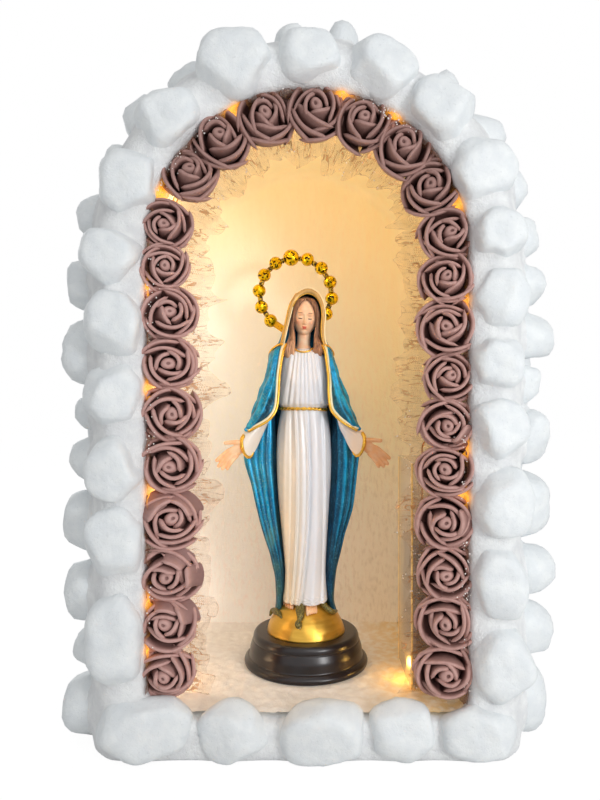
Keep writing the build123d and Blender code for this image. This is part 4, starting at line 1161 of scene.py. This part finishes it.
CAPE_RIGHT = (
    ((12.6, -8, 267.2), (15.3, -9, 265.2), (18.2, -4, 262.6), (18.0, 5, 261.8)),
    ((14.8, -12, 262.2), (17.6, -12.8, 260.8), (20.5, -5, 259.2), (20.0, 5, 258.0)),
    ((16.2, -15, 252.0), (19.6, -16.4, 251.0), (22.9, -7, 250.0), (22.0, 4, 249.0)),
    ((17.2, -17, 242.0), (21.4, -19.0, 241.5), (25.6, -9, 241.0), (24.6, 3, 240.0)),
    ((17.3, -18.5, 231.0), (23.4, -21.8, 231.0), (29.4, -10, 230.5), (28.0, 2, 229.0)),
    ((18.6, -19.5, 220.6), (26.2, -23.4, 220.5), (32.6, -13, 220.0), (31.0, 1, 218.0)),
    ((22.0, -21, 215.4), (29.0, -24.2, 214.6), (35.3, -15, 214.0), (34.0, 0, 211.0)),
    ((26.4, -22, 211.2), (32.0, -23.8, 210.4), (37.3, -17, 209.4), (36.2, -1, 206.0)),
    ((30.8, -22.5, 208.4), (34.8, -22.6, 207.4), (38.7, -18, 206.4), (37.6, -3, 203.0)),
    ((37.2, -21, 205.0), (38.4, -20.6, 205.0), (39.5, -19, 204.9), (38.4, -8, 202.0)),
)


def net(rows, down, across):
    """A smooth sheet through a net of points, with steps between them each way."""
    rows = np.asarray(rows, float)
    count, wide = rows.shape[:2]
    rows = smooth_line(rows.reshape(count, -1), down).reshape(-1, wide, 3)
    columns = rows.transpose(1, 0, 2).reshape(wide, -1)
    return smooth_line(columns, across).reshape(-1, len(rows), 3).transpose(1, 0, 2)


def outward_of(sheet):
    """The direction straight out from a sheet at each of its points."""
    out = np.cross(np.gradient(sheet, axis=0), np.gradient(sheet, axis=1))
    return out / np.maximum(np.linalg.norm(out, axis=2), 1e-9)[..., None]


def slab(sheet, thick):
    """A closed form as thick as the cloth, from its outer sheet inward."""
    rows, columns = sheet.shape[:2]
    out = outward_of(sheet)
    inner = sheet - out * thick
    points = np.concatenate([sheet.reshape(-1, 3), inner.reshape(-1, 3)])
    faces = sheet_faces(rows, columns)
    total = rows * columns
    faces += [[i + total for i in face[::-1]] for face in faces]
    around = list(range(columns)) + [r * columns + columns - 1 for r in range(1, rows)]
    around += [total - 1 - c for c in range(1, columns)] + [r * columns for r in range(rows - 2, 0, -1)]
    for i, first in enumerate(around):
        second = around[(i + 1) % len(around)]
        faces.append([second, first, first + total, second + total])
    return points, faces


def ridges(share, marks):
    """Rounded folds between narrow valleys: (place, width, height) of each along the share."""
    return sum(height * np.exp(-np.abs((share - at) / width) ** 1.6) for at, width, height in marks)


def cloth(name, sheet, out, tone, thick, *nodes):
    """A piece of the mantle, with its cloth laid inward from the sheet.

    out is the way out of the figure, and tone the painted shade and highlight of a fold, from dark in its
    valley to light on its crest.
    """
    if (outward_of(sheet) * out).sum() < 0:
        sheet, tone = sheet[:, ::-1], tone[:, ::-1]
    piece = add(name, *slab(sheet, thick), blue, "mantle_paint", *nodes)
    paint_value(piece, "fold", np.tile(tone.ravel(), 2))


LEFT_FOLDS = (
    (0.05, 0.05, 0.4),
    (0.25, 0.075, 1.9),
    (0.46, 0.07, 2.4),
    (0.62, 0.055, 1.6),
    (0.78, 0.07, 2.2),
    (0.95, 0.07, 1.2),
)
RIGHT_FOLDS = (
    (0.08, 0.05, 0.3),
    (0.3, 0.07, 1.6),
    (0.5, 0.08, 2.2),
    (0.69, 0.06, 1.7),
    (0.86, 0.07, 2.0),
)
rows = []
for z, inner_left, outer_left, outer_right, inner_right, front, back in MANTLE_SHAPE:
    halves = []
    for inner, outer, way in ((inner_left, outer_left, 1), (inner_right, outer_right, -1)):
        half = [(inner + 1.5 * way, 4.0), (inner - 0.6 * way, -1.5), (0.55 * inner + 0.45 * outer, front)]
        half += [(outer + 1.2 * way, front + 0.5), (outer, front + 5)]
        halves.append(half + [(0.78 * outer, 0.62 * back), (0.4 * outer, 0.94 * back)])
    rows.append([(x, y, z) for x, y in halves[0] + [(0, back)] + halves[1][::-1]])
sheet = net(rows, 8, 14)
out = outward_of(sheet)
out *= np.sign((out * (sheet - sheet.mean(axis=1)[:, None])).sum(axis=2).mean())
z = sheet[..., 2]
place_in_row = np.linspace(0, 14, sheet.shape[1])[None, :]
reach = np.clip((z - 70) / 90, 0.25, 1) * np.clip((262 - z) / 40, 0, 1)
wander = 0.25 * np.sin(z / 31)
left_share = (place_in_row - 0.8) / 2.6 + wander * 0.2
right_share = (13.2 - place_in_row) / 2.6 + wander * 0.2
folds = ridges(left_share, LEFT_FOLDS) * (place_in_row < 3.9)
folds = folds + ridges(right_share, RIGHT_FOLDS) * (place_in_row > 10.1)
behind = np.clip(1 - np.abs(place_in_row - 7) / 3.6, 0, 1) ** 0.5
folds = folds + behind * 1.5 * np.abs(np.sin(place_in_row * 1.9 + wander * 2)) ** 0.7
sheet = sheet + out * (folds * reach)[..., None]
uneven = lumps(sheet * (1, 1, 0.35), 6, 5.0)
sheet = sheet + out * (0.45 * uneven)[..., None]
# Painted shade and highlight: tone lights the crests of the folds, and in_shade darkens the cloth beside the
# gown, most on the right.
left_half = 0.45 + place_in_row / 3
right_half = np.minimum((13.1 - place_in_row) / 1.3, 0.8)
in_shade = np.clip(np.where(place_in_row < 7, left_half, right_half), 0.1, 1)
tone = np.clip(0.1 + folds * reach / 2.2 * in_shade, 0, 1)

settings = {"Metallic": 0.5, "Coat_Weight": 0.12, "Specular_IOR_Level": 0.3}
blue, blue_shader, place = finish("metallic_blue", 0.36, **settings)
# The fold value paints shade into the valleys and highlight onto the crests: deep is the painted shade, lit
# the painted highlight.
crest = place.value("fold")
grain = place.noise(2.6, 3, (1, 1, 3)).step(0.3, 0.72)
deep = grain.mix("08344F", "0C4A6E")
lit = grain.mix("0088BE", "14AADE")
# Faint green streaks all over, and low on the left a painted gold-green reflection.
low_left = (1 - place.axis(0).step(-34, -14)) * (1 - place.axis(2).step(90, 190))
green_streaks_and_painted_reflection = place.noise(9, 2, (1, 1, 3)).step(0.3, 0.65) * (0.05 + 0.6 * low_left)
paint = green_streaks_and_painted_reflection.mix(crest.step(0.25, 0.9).mix(deep, lit), "86C29C")
# Flecks of metallic paint, strongest on the crests where they are painted glints; on the left they take the
# tint of the painted gold-green reflection.
fleck = place.noise(0.75, 3, (1, 1, 1.6)).step(0.54, 0.68) * (0.08 + 0.42 * crest)
on_left = 1 - place.axis(0).step(-32, -16)
feed(blue_shader, Base_Color=fleck.mix(paint, on_left.mix("6CD2F0", "A4CFB4")))
relief(blue_shader, place.noise(0.7, 2) * 0.4 + place.noise(2.5, 3, (1, 1, 3)), 0.1)
cloth("mantle_drape", sheet, out, tone, MANTLE_THICK, "mantle")

cape_edges = []
for name, rows, side in (("cape_left", CAPE_LEFT, -1), ("cape_right", CAPE_RIGHT, 1)):
    sheet = net(rows, 12, 22)
    out = outward_of(sheet)
    out *= np.sign((out * (0, -1, 0)).sum(axis=2).mean())
    along = np.linspace(0, 1, sheet.shape[0])[:, None]
    across = np.linspace(0, 3, sheet.shape[1])[None, :]
    inside = np.clip(across / 0.35, 0, 1) * np.clip((3 - across) / 0.6, 0, 1)
    folds = ridges(across + 0.25 * np.sin(along * 7), ((0.75, 0.16, 1.1), (1.25, 0.2, 1.5), (1.8, 0.22, 1.2)))
    folds = folds * (0.25 + 0.75 * np.sin(np.clip(along * 1.15, 0, 1) * math.pi) ** 2)
    crumple = 0.9 * lumps(sheet * (1, 1, 0.6), 6.5, 3.0 + side) + 0.4 * lumps(sheet, 2.8, 9.0 + side)
    sheet = sheet + out * (inside * (folds + crumple))[..., None]
    cape_edges.append(sheet[:, 0])
    # The tone paints shade into the cape's folds and crumples and highlight onto their crests.
    cloth(name, sheet, out, np.clip(0.42 + (folds + crumple) / 2.2, 0, 1), MANTLE_THICK)

bands, lines = [], []
for edge, side in zip(cape_edges, (-1, 1)):
    edge = edge[::4]
    inward = unit(np.cross(np.gradient(edge, axis=0), (0, -1, 0))) * side
    bands.append(swept(edge + inward * 1.1 + (0, -0.5, 0), 0.95, 0.8, (0, -1, 0), 12, 3))
    lines.append(swept(edge - inward * 0.45 + (0, -0.5, 0), 0.95, 0.75, (0, -1, 0), 12, 3))
add("mantle_gold_edge", *joined(*bands), gold, "gilt")
add("mantle_cream_edge", *joined(*lines), cream, "gilt")

# ---- veil --------------------------------------------------------------------------------------
# The top of the mantle is drawn up over the head as a veil. Its front edge is a thick rolled band
# of tan gold between a cream line and a gold one, and a gold line crosses each shoulder. The cream
# line over the top and down the right is a painted highlight on the band's outer edge.
RIM = (  # up the left of the face, over the top and down the right, along the middle of the band
    (-18.6, -9.2, 264.6),
    (-16.6, -9.6, 271.0),
    (-14.9, -9.2, 279.0),
    (-12.9, -8.2, 288.0),
    (-10.9, -7.0, 296.0),
    (-6.6, -5.8, 303.4),
    (0.8, -5.2, 307.2),
    (7.6, -5.8, 304.4),
    (11.5, -7.0, 297.5),
    (12.8, -8.2, 289.0),
    (12.2, -9.2, 279.5),
    (12.6, -9.6, 271.5),
    (14.8, -9.2, 264.4),
)
VEIL_BACK = (  # the veil's rows from its rim to the back, as shares of the way and depths
    (1.0, 0.0),
    (1.12, 3.5),
    (1.16, 8.0),
    (1.1, 13.0),
    (0.86, 18.0),
    (0.5, 21.5),
    (0.02, 22.8),
)
VEIL_THICK = 1.4
HEAD_HEART = np.array([0.2, 3.0, 287.0])
rim = np.array(RIM)
rows = []
for share, back in VEIL_BACK:
    row = rim.copy()
    low = np.clip((275 - rim[:, 2]) / 12, 0, 1)
    spread = share + (0.2 * low if share > 0.6 else 0)
    row[:, 0] = HEAD_HEART[0] + (rim[:, 0] - HEAD_HEART[0]) * spread
    row[:, 1] = rim[:, 1] + back * (1 - 0.12 * low)
    high = np.clip((rim[:, 2] - 275) / 30, 0, 1)
    row[:, 2] = rim[:, 2] + high * (min(share, 1.08) - 1) * (rim[:, 2] - HEAD_HEART[2])
    row[:, 2] -= low * 3.0 * min(back / 8, 1)
    rows.append(row)
sheet = net(rows, 7, 9)
uneven = lumps(sheet * (1, 1, 0.5), 6, 21.0) * np.linspace(0, 1, len(sheet))[:, None]
out = unit(sheet - HEAD_HEART)
sheet = sheet + out * (0.5 * uneven)[..., None]
cloth("veil", sheet, out, np.full(uneven.shape, 0.5), VEIL_THICK)

TRIM_UP = (0, -1, 0.05)  # the way that the trim of the veil faces
tan_gold, tan_shader, place = finish("tan_gold", 0.34, Metallic=0.45)
feed(tan_shader, Base_Color=place.noise(4, 3, (1, 1, 3)).mix("A87A35", "D8B070"))
middle = np.array([0.2, -8.0, 285.0])
away = rim - middle
away[:, 1] = 0
away[:, 2] *= np.where(rim[:, 2] > 285, 1, 0)
away = unit(away)
wide = np.array([1.0, 1.15, 1.25, 1.3, 1.45, 1.9, 2.1, 1.9, 1.5, 1.3, 1.25, 1.1, 0.9])
add("veil_band", *swept(rim, wide, 1.25, TRIM_UP, 16, 9), tan_gold, "gilt")
outer = rim + away * (wide + 0.15)[:, None] + (0, 0.2, 0)
inner = rim - away * (wide - 0.1)[:, None] + (0, -0.35, 0)
# Painted highlight: the outer line is cream over the top and down the right, where light catches the band,
# and gold on the left.
gold_line = swept(outer[:6], 0.55, 0.55, TRIM_UP, 10, 9)
cream_line = swept(outer[5:], 0.7, 0.7, TRIM_UP, 10, 9)
white_line = swept(inner[:5], 0.5, 0.5, TRIM_UP, 10, 9)
dark_line = swept(inner[4:], 0.4, 0.45, TRIM_UP, 10, 9)
add("veil_cream_lines", *joined(cream_line, white_line), cream, "gilt")
add("veil_gold_lines", *joined(gold_line, dark_line), gold, "gilt")
HEM_LEFT = ((-17.0, -10.6, 267.2), (-20.6, -9.0, 266.6), (-24.4, -5.4, 264.4), (-27.2, -1.0, 261.4))
HEM_LEFT += ((-27.0, 5, 259.6), (-22, 12, 259.2), (-12, 17.5, 258.6), (0, 19.4, 258.2))
HEM_RIGHT = ((13.4, -10.4, 266.4), (15.8, -9.2, 265.9), (18.4, -5.6, 264.0), (20.4, -1.2, 261.2))
HEM_RIGHT += ((20.4, 5, 259.6), (17, 12, 259.2), (10, 17.5, 258.6), (0, 19.4, 258.2))
hems = [swept(line, 0.9, 0.9, (0, -0.6, 0.8), 12, 7) for line in (HEM_LEFT, HEM_RIGHT)]
add("veil_hem", *joined(*hems), gold, "gilt")

# ---- head and hair -----------------------------------------------------------------------------
# The head is bowed a little and leans to the figure's right. The face is calm, its eyes cast down,
# and hand painted; the hair is parted in the middle and falls in two locks to the shoulders.
FACE_HIGH, FACE_WIDE, FACE_DEEP = 14.6, 9.3, 10.4  # half sizes of the head
FACE = (  # how far it stands out, its place across and up, and its half sizes across and up
    (-1.25, 3.5, 0.6, 2.3, 1.7),  # the sockets
    (-0.6, 1.9, 1.2, 1.0, 1.6),
    (1.15, 3.6, 0.35, 1.6, 1.0),  # lids over the lowered eyes
    (-0.3, 3.6, -0.85, 1.7, 0.35),
    (0.6, 3.6, 3.1, 2.7, 0.9),  # brows
    (1.75, 0, -1.6, 0.8, 2.9),  # the nose
    (1.9, 0, -3.8, 0.9, 1.0),
    (0.95, 1.25, -4.1, 0.5, 0.6),  # nostrils
    (-0.45, 0, -5.4, 0.45, 0.7),
    (0.8, 0, -7.2, 2.6, 1.5),  # the mouth
    (0.5, 0.6, -6.45, 0.85, 0.42),
    (0.62, 0, -7.8, 1.3, 0.5),
    (-0.6, 0, -7.1, 1.9, 0.2),
    (-0.5, 0, -9.1, 1.7, 0.55),
    (1.2, 0, -11.6, 2.4, 1.7),  # the chin
    (0.6, 5.2, -2.6, 2.4, 2.6),  # the cheeks
    (-0.5, 4.6, -7.0, 1.8, 2.6),
)


def hill(across, up, wide, tall):
    """A smooth hill, 1 high, at a place on each side of the face."""
    return np.exp(-(((side - across) / wide) ** 2) - ((z - up) / tall) ** 2)


def stroke(above, thick, middle, reach):
    """A painted stroke on each side of the face, along the line that above is measured from."""
    return np.exp(-((above / thick) ** 2) - ((side - middle) / reach) ** 4)


turns = np.concatenate([np.linspace(0, math.pi, 110), np.linspace(math.pi, 2 * math.pi, 26)[1:-1]])
levels = np.linspace(-0.5 * math.pi + 0.02, 0.5 * math.pi - 0.02, 130)
t, level = np.meshgrid(turns, levels)
x = -np.cos(t) * np.cos(level) ** 0.85
z = np.sin(level)
y = -np.sin(t) * np.cos(level) ** 0.8
narrow = 1 - 0.3 * np.clip(-z - 0.1, 0, 1) ** 1.3
x *= FACE_WIDE * narrow
z *= FACE_HIGH
y *= FACE_DEEP * np.where(y < 0, 1 - 0.1 * np.clip(-z / FACE_HIGH - 0.35, 0, 1), 1)
ahead = np.clip(-y / FACE_DEEP, 0, 1) ** 0.7
side = np.abs(x)
form = sum(height * hill(*place_and_size) for height, *place_and_size in FACE)
y = y - form * ahead
PAINT = {
    "lips": np.clip((hill(0.55, -6.5, 1.35, 0.5) + hill(0, -7.65, 1.7, 0.62)) * 1.25, 0, 1),
    "brow": stroke(z - 3.35 - 0.35 * np.cos((side - 3.5) / 1.9), 0.44, 3.7, 2.1),
    "lash": stroke(z + 0.62 - 0.09 * (side - 3.6) ** 2, 0.44, 3.6, 1.8),
    "crease": stroke(z - 1.45 + 0.1 * (side - 3.6) ** 2, 0.27, 3.6, 1.5),
    # Painted highlight: the lids are lightened.
    "lid": hill(3.6, 0.5, 1.5, 0.75),
    "cheek": hill(4.9, -3.6, 2.0, 1.9),
}
LEAN = Matrix.Rotation(math.radians(4.5), 3, "Y") @ Matrix.Rotation(math.radians(9), 3, "X")
FACE_HEART = np.array([-0.6, 1.0, 288.2])
points = np.stack([x, y, z], axis=-1).reshape(-1, 3) @ np.array(LEAN).T + FACE_HEART
neck = [(-1.0, 3.4, 280), (-1.6, 2.4, 273), (-2.0, 1.6, 267), (-1.9, 0.6, 262.5), (-1.8, 0.2, 258)]
neck_form = swept(neck, (5.4, 5.0, 5.2, 7.4, 11.0), (5.4, 5.0, 5.2, 6.6, 8.5), (0, -1, 0), 40, 8)
head_form = joined((points, tube_faces(*t.shape)), neck_form)
head = add("head", *head_form, skin, "skin_paint", "head")
for name, mask in PAINT.items():
    paint_value(head, name, np.append(mask * (y < 0), np.zeros(len(neck_form[0]))))
face_paint, face_shader, place = finish("face_paint", 0.42)
tone = place.noise(5, 2).step(0.35, 0.7).mix("FFC99E", "FFDCB8")
for name, colour, share, low, high in (
    ("cheek", "F09C7C", 0.5, 0.0, 1.0),
    # the painted highlight on the lids
    ("lid", "F7CFAF", 0.25, 0.1, 0.9),
    ("crease", "A86F52", 0.7, 0.3, 0.8),
    ("lips", "D65F49", 0.95, 0.4, 0.75),
    ("brow", "6A3D27", 0.9, 0.35, 0.9),
    ("lash", "3E1E12", 1.0, 0.35, 0.7),
):
    tone = (place.value(name).step(low, high) * share).mix(tone, colour)
feed(face_shader, Base_Color=tone)
head.data.materials[0] = face_paint

PARTING = np.array([-0.4, -7.6, 301.6])
LOCKS = (  # (side, how far round from the parting, end x, end y, end z, half width, half depth)
    (-1, 0.1, -9.6, -9.8, 257.6, 2.1, 1.7),
    (-1, 0.45, -12.8, -9.6, 256.8, 2.4, 2.0),
    (-1, 0.85, -15.4, -8.0, 258.2, 2.2, 2.0),
    (1, 0.1, 6.6, -9.8, 259.4, 2.0, 1.7),
    (1, 0.45, 9.8, -9.4, 258.2, 2.3, 2.0),
    (1, 0.85, 12.2, -7.8, 260.0, 2.0, 1.9),
)
locks = []
for side, turn, end_x, end_y, end_z, half_wide, half_deep in LOCKS:
    line = [
        PARTING + (0.6 * side, 1.2 * turn, 0.2 - 1.2 * turn),
        (-0.2 + side * (4.4 + 1.6 * turn), -7.9 + 2.2 * turn, 297.8 + 2.0 * turn),
        (-0.6 + side * (8.0 + 1.9 * turn), -6.9 + 2.8 * turn, 290.4 + 1.0 * turn),
        (-0.9 + side * (8.9 + 2.0 * turn), -6.6 + 2.8 * turn, 281.5),
        (-1.1 + side * (8.1 + 2.7 * turn), -7.0 + 2.4 * turn, 273.0),
        ((-1.1 + side * (8.1 + 2.7 * turn) + end_x) / 2 + side * 0.4, -9.2 + 1.4 * turn, 265.0),
        (end_x, end_y, end_z + 2),
        (end_x - side * 0.6, end_y + 1.5, end_z - 0.4),
    ]
    wide = [0.8, 1.4, 1.45, 1.35, 1.6, half_wide, half_wide, 0.9]
    deep = [0.6, 1.3, 1.6, 1.5, 1.5, half_deep, half_deep * 0.9, 0.6]
    locks.append(swept(line, wide, deep, (0, -1, 0.1), 30, 9, 0.24, 6))
CAP_ROWS, CAP_SIDES = 16, 48  # the hair over the crown of the head
cap_points = []
for level in np.linspace(0.02, 1.0, CAP_ROWS) * math.pi * 0.62:
    r, z = math.sin(level), 290.5 + 14.0 * math.cos(level)
    for a in full_turn(CAP_SIDES):
        cap_points.append((0.2 + 10.2 * r * math.sin(a), 2.6 - 9.4 * r * math.cos(a), z))
hair = joined((cap_points, tube_faces(CAP_ROWS, CAP_SIDES)), *locks)
brown_hair, hair_shader, place = finish("brown_hair", 0.48)
strand = place.noise(1.2, 3, (1, 1, 9)).step(0.3, 0.7)
paint = strand.mix("7C4C33", "CE9870")
# Painted shade: the hair is darker high up, under the veil.
paint = (place.axis(2).step(272, 286) * 0.5).mix(paint, "5A3826")
# Painted light: the lower locks on the left are paler.
lower_left_painted_light = (1 - place.axis(2).step(262, 280)) * (1 - place.axis(0).step(-9, -2)) * 0.4
feed(hair_shader, Base_Color=lower_left_painted_light.mix(paint, "EBBF98"))
relief(hair_shader, strand, 0.3)
add("hair_locks", *hair, brown_hair, "hair_paint", "hair")

# ---- sleeves, cuffs and hands ------------------------------------------------------------------
# White sleeves come out from under the mantle and hang open at the wrist, with a thick gilt cuff.
# The hands are open, palms forward. They belong to the same casting and are painted.
def sleeve(sections, steps=9, sides=40):
    """A form through flat ovals: upper x, z, lower x, z, middle y, half width in x and y."""
    frames = smooth_line(sections, steps)
    angles = full_turn(sides)
    rings = []
    for upper_x, upper_z, lower_x, lower_z, y, wide_x, wide_y in frames:
        heart = np.array([(upper_x + lower_x) / 2, y, (upper_z + lower_z) / 2])
        tall = np.array([(upper_x - lower_x) / 2, 0, (upper_z - lower_z) / 2])
        wide = np.array([wide_x, wide_y, 0])
        rings.append(heart + np.cos(angles)[:, None] * tall + np.sin(angles)[:, None] * wide)
    return np.array(rings)


RIGHT_SLEEVE = (  # from inside the mantle to the mouth
    (-33, 215, -27, 212, -11, -1.5, -3.5),
    (-40.0, 209.5, -29.4, 206, -13, -1.8, -4.6),
    (-43.9, 205, -33.6, 198, -15, -2.4, -4.8),
    (-45.2, 201.6, -37.4, 190, -16.8, -3.0, -4.4),
    (-44.2, 200.4, -40.8, 184.2, -18.2, -3.6, -3.8),
)
LEFT_SLEEVE = (
    (29, 216, 23, 213, -11, 1.5, -3.5),
    (35.4, 210.5, 24.8, 205, -13, 1.8, -4.6),
    (38.9, 206, 28.6, 198.5, -15, 2.4, -4.8),
    (40.4, 203.6, 32.2, 191.4, -16.8, 3.0, -4.4),
    (39.6, 202.2, 36.2, 185.2, -18.2, 3.6, -3.8),
)
for name, side, sections in (("right", -1, RIGHT_SLEEVE), ("left", 1, LEFT_SLEEVE)):
    rings = sleeve(sections)
    along = np.linspace(0, 1, len(rings))[:, None]
    angles = full_turn(rings.shape[1])[None, :]
    folds = 0.45 * np.sin(3 * angles + 5 * along) * along * (1 - along) * 3
    hearts = rings.mean(axis=1)[:, None]
    rings = hearts + (rings - hearts) * (1 + folds / 7)[..., None]
    mouth = rings[-1]
    heart = mouth.mean(axis=0)
    deeper = heart + (mouth - heart) * 0.72 + (-side * 2.6, 1.8, 2.2)
    end = heart + (mouth - heart) * 0.5 + (-side * 4.0, 2.4, 3.6)
    rings = np.concatenate([rings, [deeper, end]])
    faces = tube_faces(*rings.shape[:2])
    add(name + "_sleeve_cloth", rings, faces, pearl, "gown_paint", name + "_sleeve")
    turns = np.linspace(0, 2 * math.pi, 41)
    loop = np.vstack([mouth, mouth[:1]])
    loop = loop + (side * 0.5, -0.4, -0.2)
    inward = unit(heart - loop)
    size = 1.5 + 0.3 * np.sin(turns + 2.2) + 0.12 * np.sin(5 * turns)
    cuff = swept(loop + inward * 0.5, size * 1.15, size * 0.85, (side * 0.7, -0.6, -0.3), 14, 3)
    add(name + "_cuff_ring", *cuff, gold, "gilt", name + "_cuff")

HAND_GRAIN = 0.36  # how fine the skin of a hand is made
PALM = ((-41.0, -17.6, 194.0), (-44.5, -18.6, 192.6), (-48.5, -19.8, 190.6))
PALM += ((-52.0, -20.8, 188.4), (-54.6, -21.4, 186.8))
FINGERS = (  # line of the bones, and the half width at its root and tip
    (((-50.5, -20.4, 191.0), (-54.6, -21.8, 190.2), (-59.2, -23.0, 187.0), (-64.0, -24.2, 182.8)), 1.75, 1.4),
    (((-51.0, -20.6, 188.8), (-55.4, -22.0, 187.2), (-59.2, -23.0, 183.4), (-62.6, -24.4, 178.8)), 1.75, 1.4),
    (((-50.5, -20.4, 187.0), (-54.2, -21.8, 184.9), (-57.4, -23.0, 181.2), (-59.8, -24.6, 177.0)), 1.7, 1.35),
    (((-49.6, -20.2, 186.0), (-52.2, -21.4, 183.2), (-54.6, -22.6, 180.2), (-56.4, -24.2, 176.8)), 1.5, 1.25),
    (((-44.5, -18.6, 193.6), (-48.2, -20.6, 195.2), (-52.6, -22.2, 195.5), (-58.0, -23.4, 195.2)), 2.1, 1.4),
)


def capsule(line, root, tip):
    """A finger: rounded at its tip and a little thicker at its joints."""
    line = smooth_line(line, 6)
    count = len(line)
    share = np.linspace(0, 1, count)
    size = root + (tip - root) * share + 0.1 * np.exp(-(((share - 0.5) / 0.08) ** 2))
    heading = unit(line[-1] - line[-2])
    cap = [line[-1] + heading * tip * s for s in (0.5, 0.85, 0.99)]
    size = list(size) + [tip * s for s in (0.87, 0.53, 0.14)]
    return swept(np.vstack([line, cap]), size, size, (0, -1, 0.3), 14, 2)


for name, mirror, shift in (("right", 1, (0, 0, 0)), ("left", -1, (-4.6, 0.3, 1.6))):
    palm = swept(PALM, (2.6, 2.9, 4.2, 4.6, 3.8), (2.3, 2.1, 1.9, 1.7, 1.3), (0.35, -0.9, -0.3), 24, 6)
    points, faces = joined(palm, *(capsule(*finger) for finger in FINGERS))
    points = np.array(points) * (mirror, 1, 1) + shift
    if mirror < 0:
        faces = [face[::-1] for face in faces]
    hand = add(name + "_open_hand", points, faces, skin, "skin_paint", name + "_hand")
    reshape(hand, skinned(hand, HAND_GRAIN, 3))

# ---- halo --------------------------------------------------------------------------------------
# The halo is a length of gilt bead trim bent into a ring and glued behind the head: faceted hollow
# beads joined by short dark links, with a flat gilt tab left on each end.
LEVELS, SIDES = 9, 14  # rows of facets of a bead, and facets in a row
draw = np.random.default_rng(12)
gilt_bead, bead_shader, place = finish("gilt_bead", 0.18, Metallic=0.7)
facet = place.node("TexVoronoi", {"Vector": place, "Scale": 780.0}, output=1)
dark = facet.node("SeparateXYZ", {0: facet}, output=0).step(0.8, 0.83)
feed(bead_shader, Base_Color=dark.mix("F2C600", "2A1802"))
angles = (np.arange(LEVELS) / 4 - 1) * 1.36
round_bead = []
for level, angle in enumerate(angles):
    for a in range(SIDES):
        b = (a + 0.5 * (level % 2)) * math.pi / 7
        round_bead.append((math.cos(angle) * math.cos(b), math.sin(angle), math.cos(angle) * math.sin(b)))
bead_faces = []
for row in range(LEVELS - 1):
    for a in range(SIDES):
        b, near, far = (a + 1) % SIDES, row * SIDES, (row + 1) * SIDES
        if row % 2 == 0:
            bead_faces += [[near + a, near + b, far + a], [near + b, far + b, far + a]]
        else:
            bead_faces += [[near + a, far + b, far + a], [near + a, near + b, far + b]]
bead_faces += tube_faces(LEVELS, SIDES)[-2:]
forms = []
for corners, _ in loose_parts("halo_beads"):
    heart, size = extent(corners)
    turn = Matrix.Rotation(draw.uniform(0, 6.3), 3, "Y")
    turn = np.array(turn @ Matrix.Rotation(draw.uniform(-0.3, 0.3), 3, "X"))
    forms.append((np.array(round_bead) @ turn.T * size[2] / 2 * 1.03 + heart, bead_faces))
add("faceted_beads", *joined(*forms), gilt_bead, "halo_gold", "halo_beads", smooth=False)

dark_links, link_shader, place = finish("dark_links", 0.3, Metallic=0.6)
feed(link_shader, Base_Color=place.noise(1.6, 2).step(0.42, 0.6).mix("2A1B0C", "D9B23A"))
coat("halo_links", dark_links)
flat_gilt, tab_shader, place = finish("flat_gilt", 0.38, Metallic=0.6)
feed(tab_shader, Base_Color=place.noise(1.5, 2).step(0.6, 0.7).mix("C79A08", "6A4708"))
relief(tab_shader, place.noise(1.2, 2), 0.1)
coat("halo_ends", flat_gilt)

# ---- stage, light and camera -------------------------------------------------------------------
# A pale table top, broad soft light from the front with a smaller key on the right, a fill behind
# for the other views, and a camera level with the belt.
bpy.ops.mesh.primitive_plane_add(size=6.0)
table = bpy.context.object
table.name = "table_top"
table_paint, table_shader, _ = finish("table_top_white", 0.9, Base_Color=(0.85, 0.85, 0.85, 1))
table.data.materials.append(table_paint)

# To the camera, most of the table is a plain glow, so that it reads as a white sheet.
painted = Link(table_shader.outputs[0])
glow = painted.node("Emission", {"Strength": 1.06, "Color": (1, 1, 1, 1)})
seen = painted.node("LightPath", output="Is Camera Ray") * 0.9
sheet = seen.node("MixShader", {0: seen, 1: painted, 2: glow})
feed(table_paint.node_tree.nodes["Material Output"], Surface=sheet)

# The backdrop is white to look at, and lights the shrine half as strongly.
world = bpy.data.worlds.new("studio")
bpy.context.scene.world = world
world.use_nodes = True
background = world.node_tree.nodes["Background"]
background.inputs["Color"].default_value = (1, 1, 1, 1)
backdrop = Link(background.outputs[0])
looked_at = backdrop.node("LightPath", output="Is Camera Ray")
for rays in ("Is Glossy Ray", "Is Transmission Ray"):
    looked_at = looked_at + backdrop.node("LightPath", output=rays)
feed(background, Strength=looked_at.math("MINIMUM", looked_at, 1.0) * 0.5 + 0.5)

SOFT_LAMPS = (  # name, place, what it faces, size, power
    ("window", (450, -1500, 1200), (0, 0, 230), 1100, 4.7),
    ("key", (500, -730, 300), (0, 0, 200), 200, 2.3),
    ("rear_fill", (-800, 1400, 700), (0, 0, 220), 900, 4.0),
)
for name, at, aim, size, power in SOFT_LAMPS:
    lamp = lamp_at(name, "AREA", at, power, (1, 1, 1), size)
    lamp.rotation_euler = (Vector(aim) - Vector(at)).to_track_quat("-Z", "Y").to_euler()

EYE = (-4.5, -497, 226)
lens = bpy.data.cameras.new("camera")
lens.lens = 29.7
camera = bpy.data.objects.new("camera", lens)
camera.location = Vector(EYE) * METRE
camera.rotation_euler = (math.pi / 2, 0, 0)
bpy.context.scene.collection.objects.link(camera)
bpy.context.scene.camera = camera
bpy.context.scene.view_settings.view_transform = "Standard"
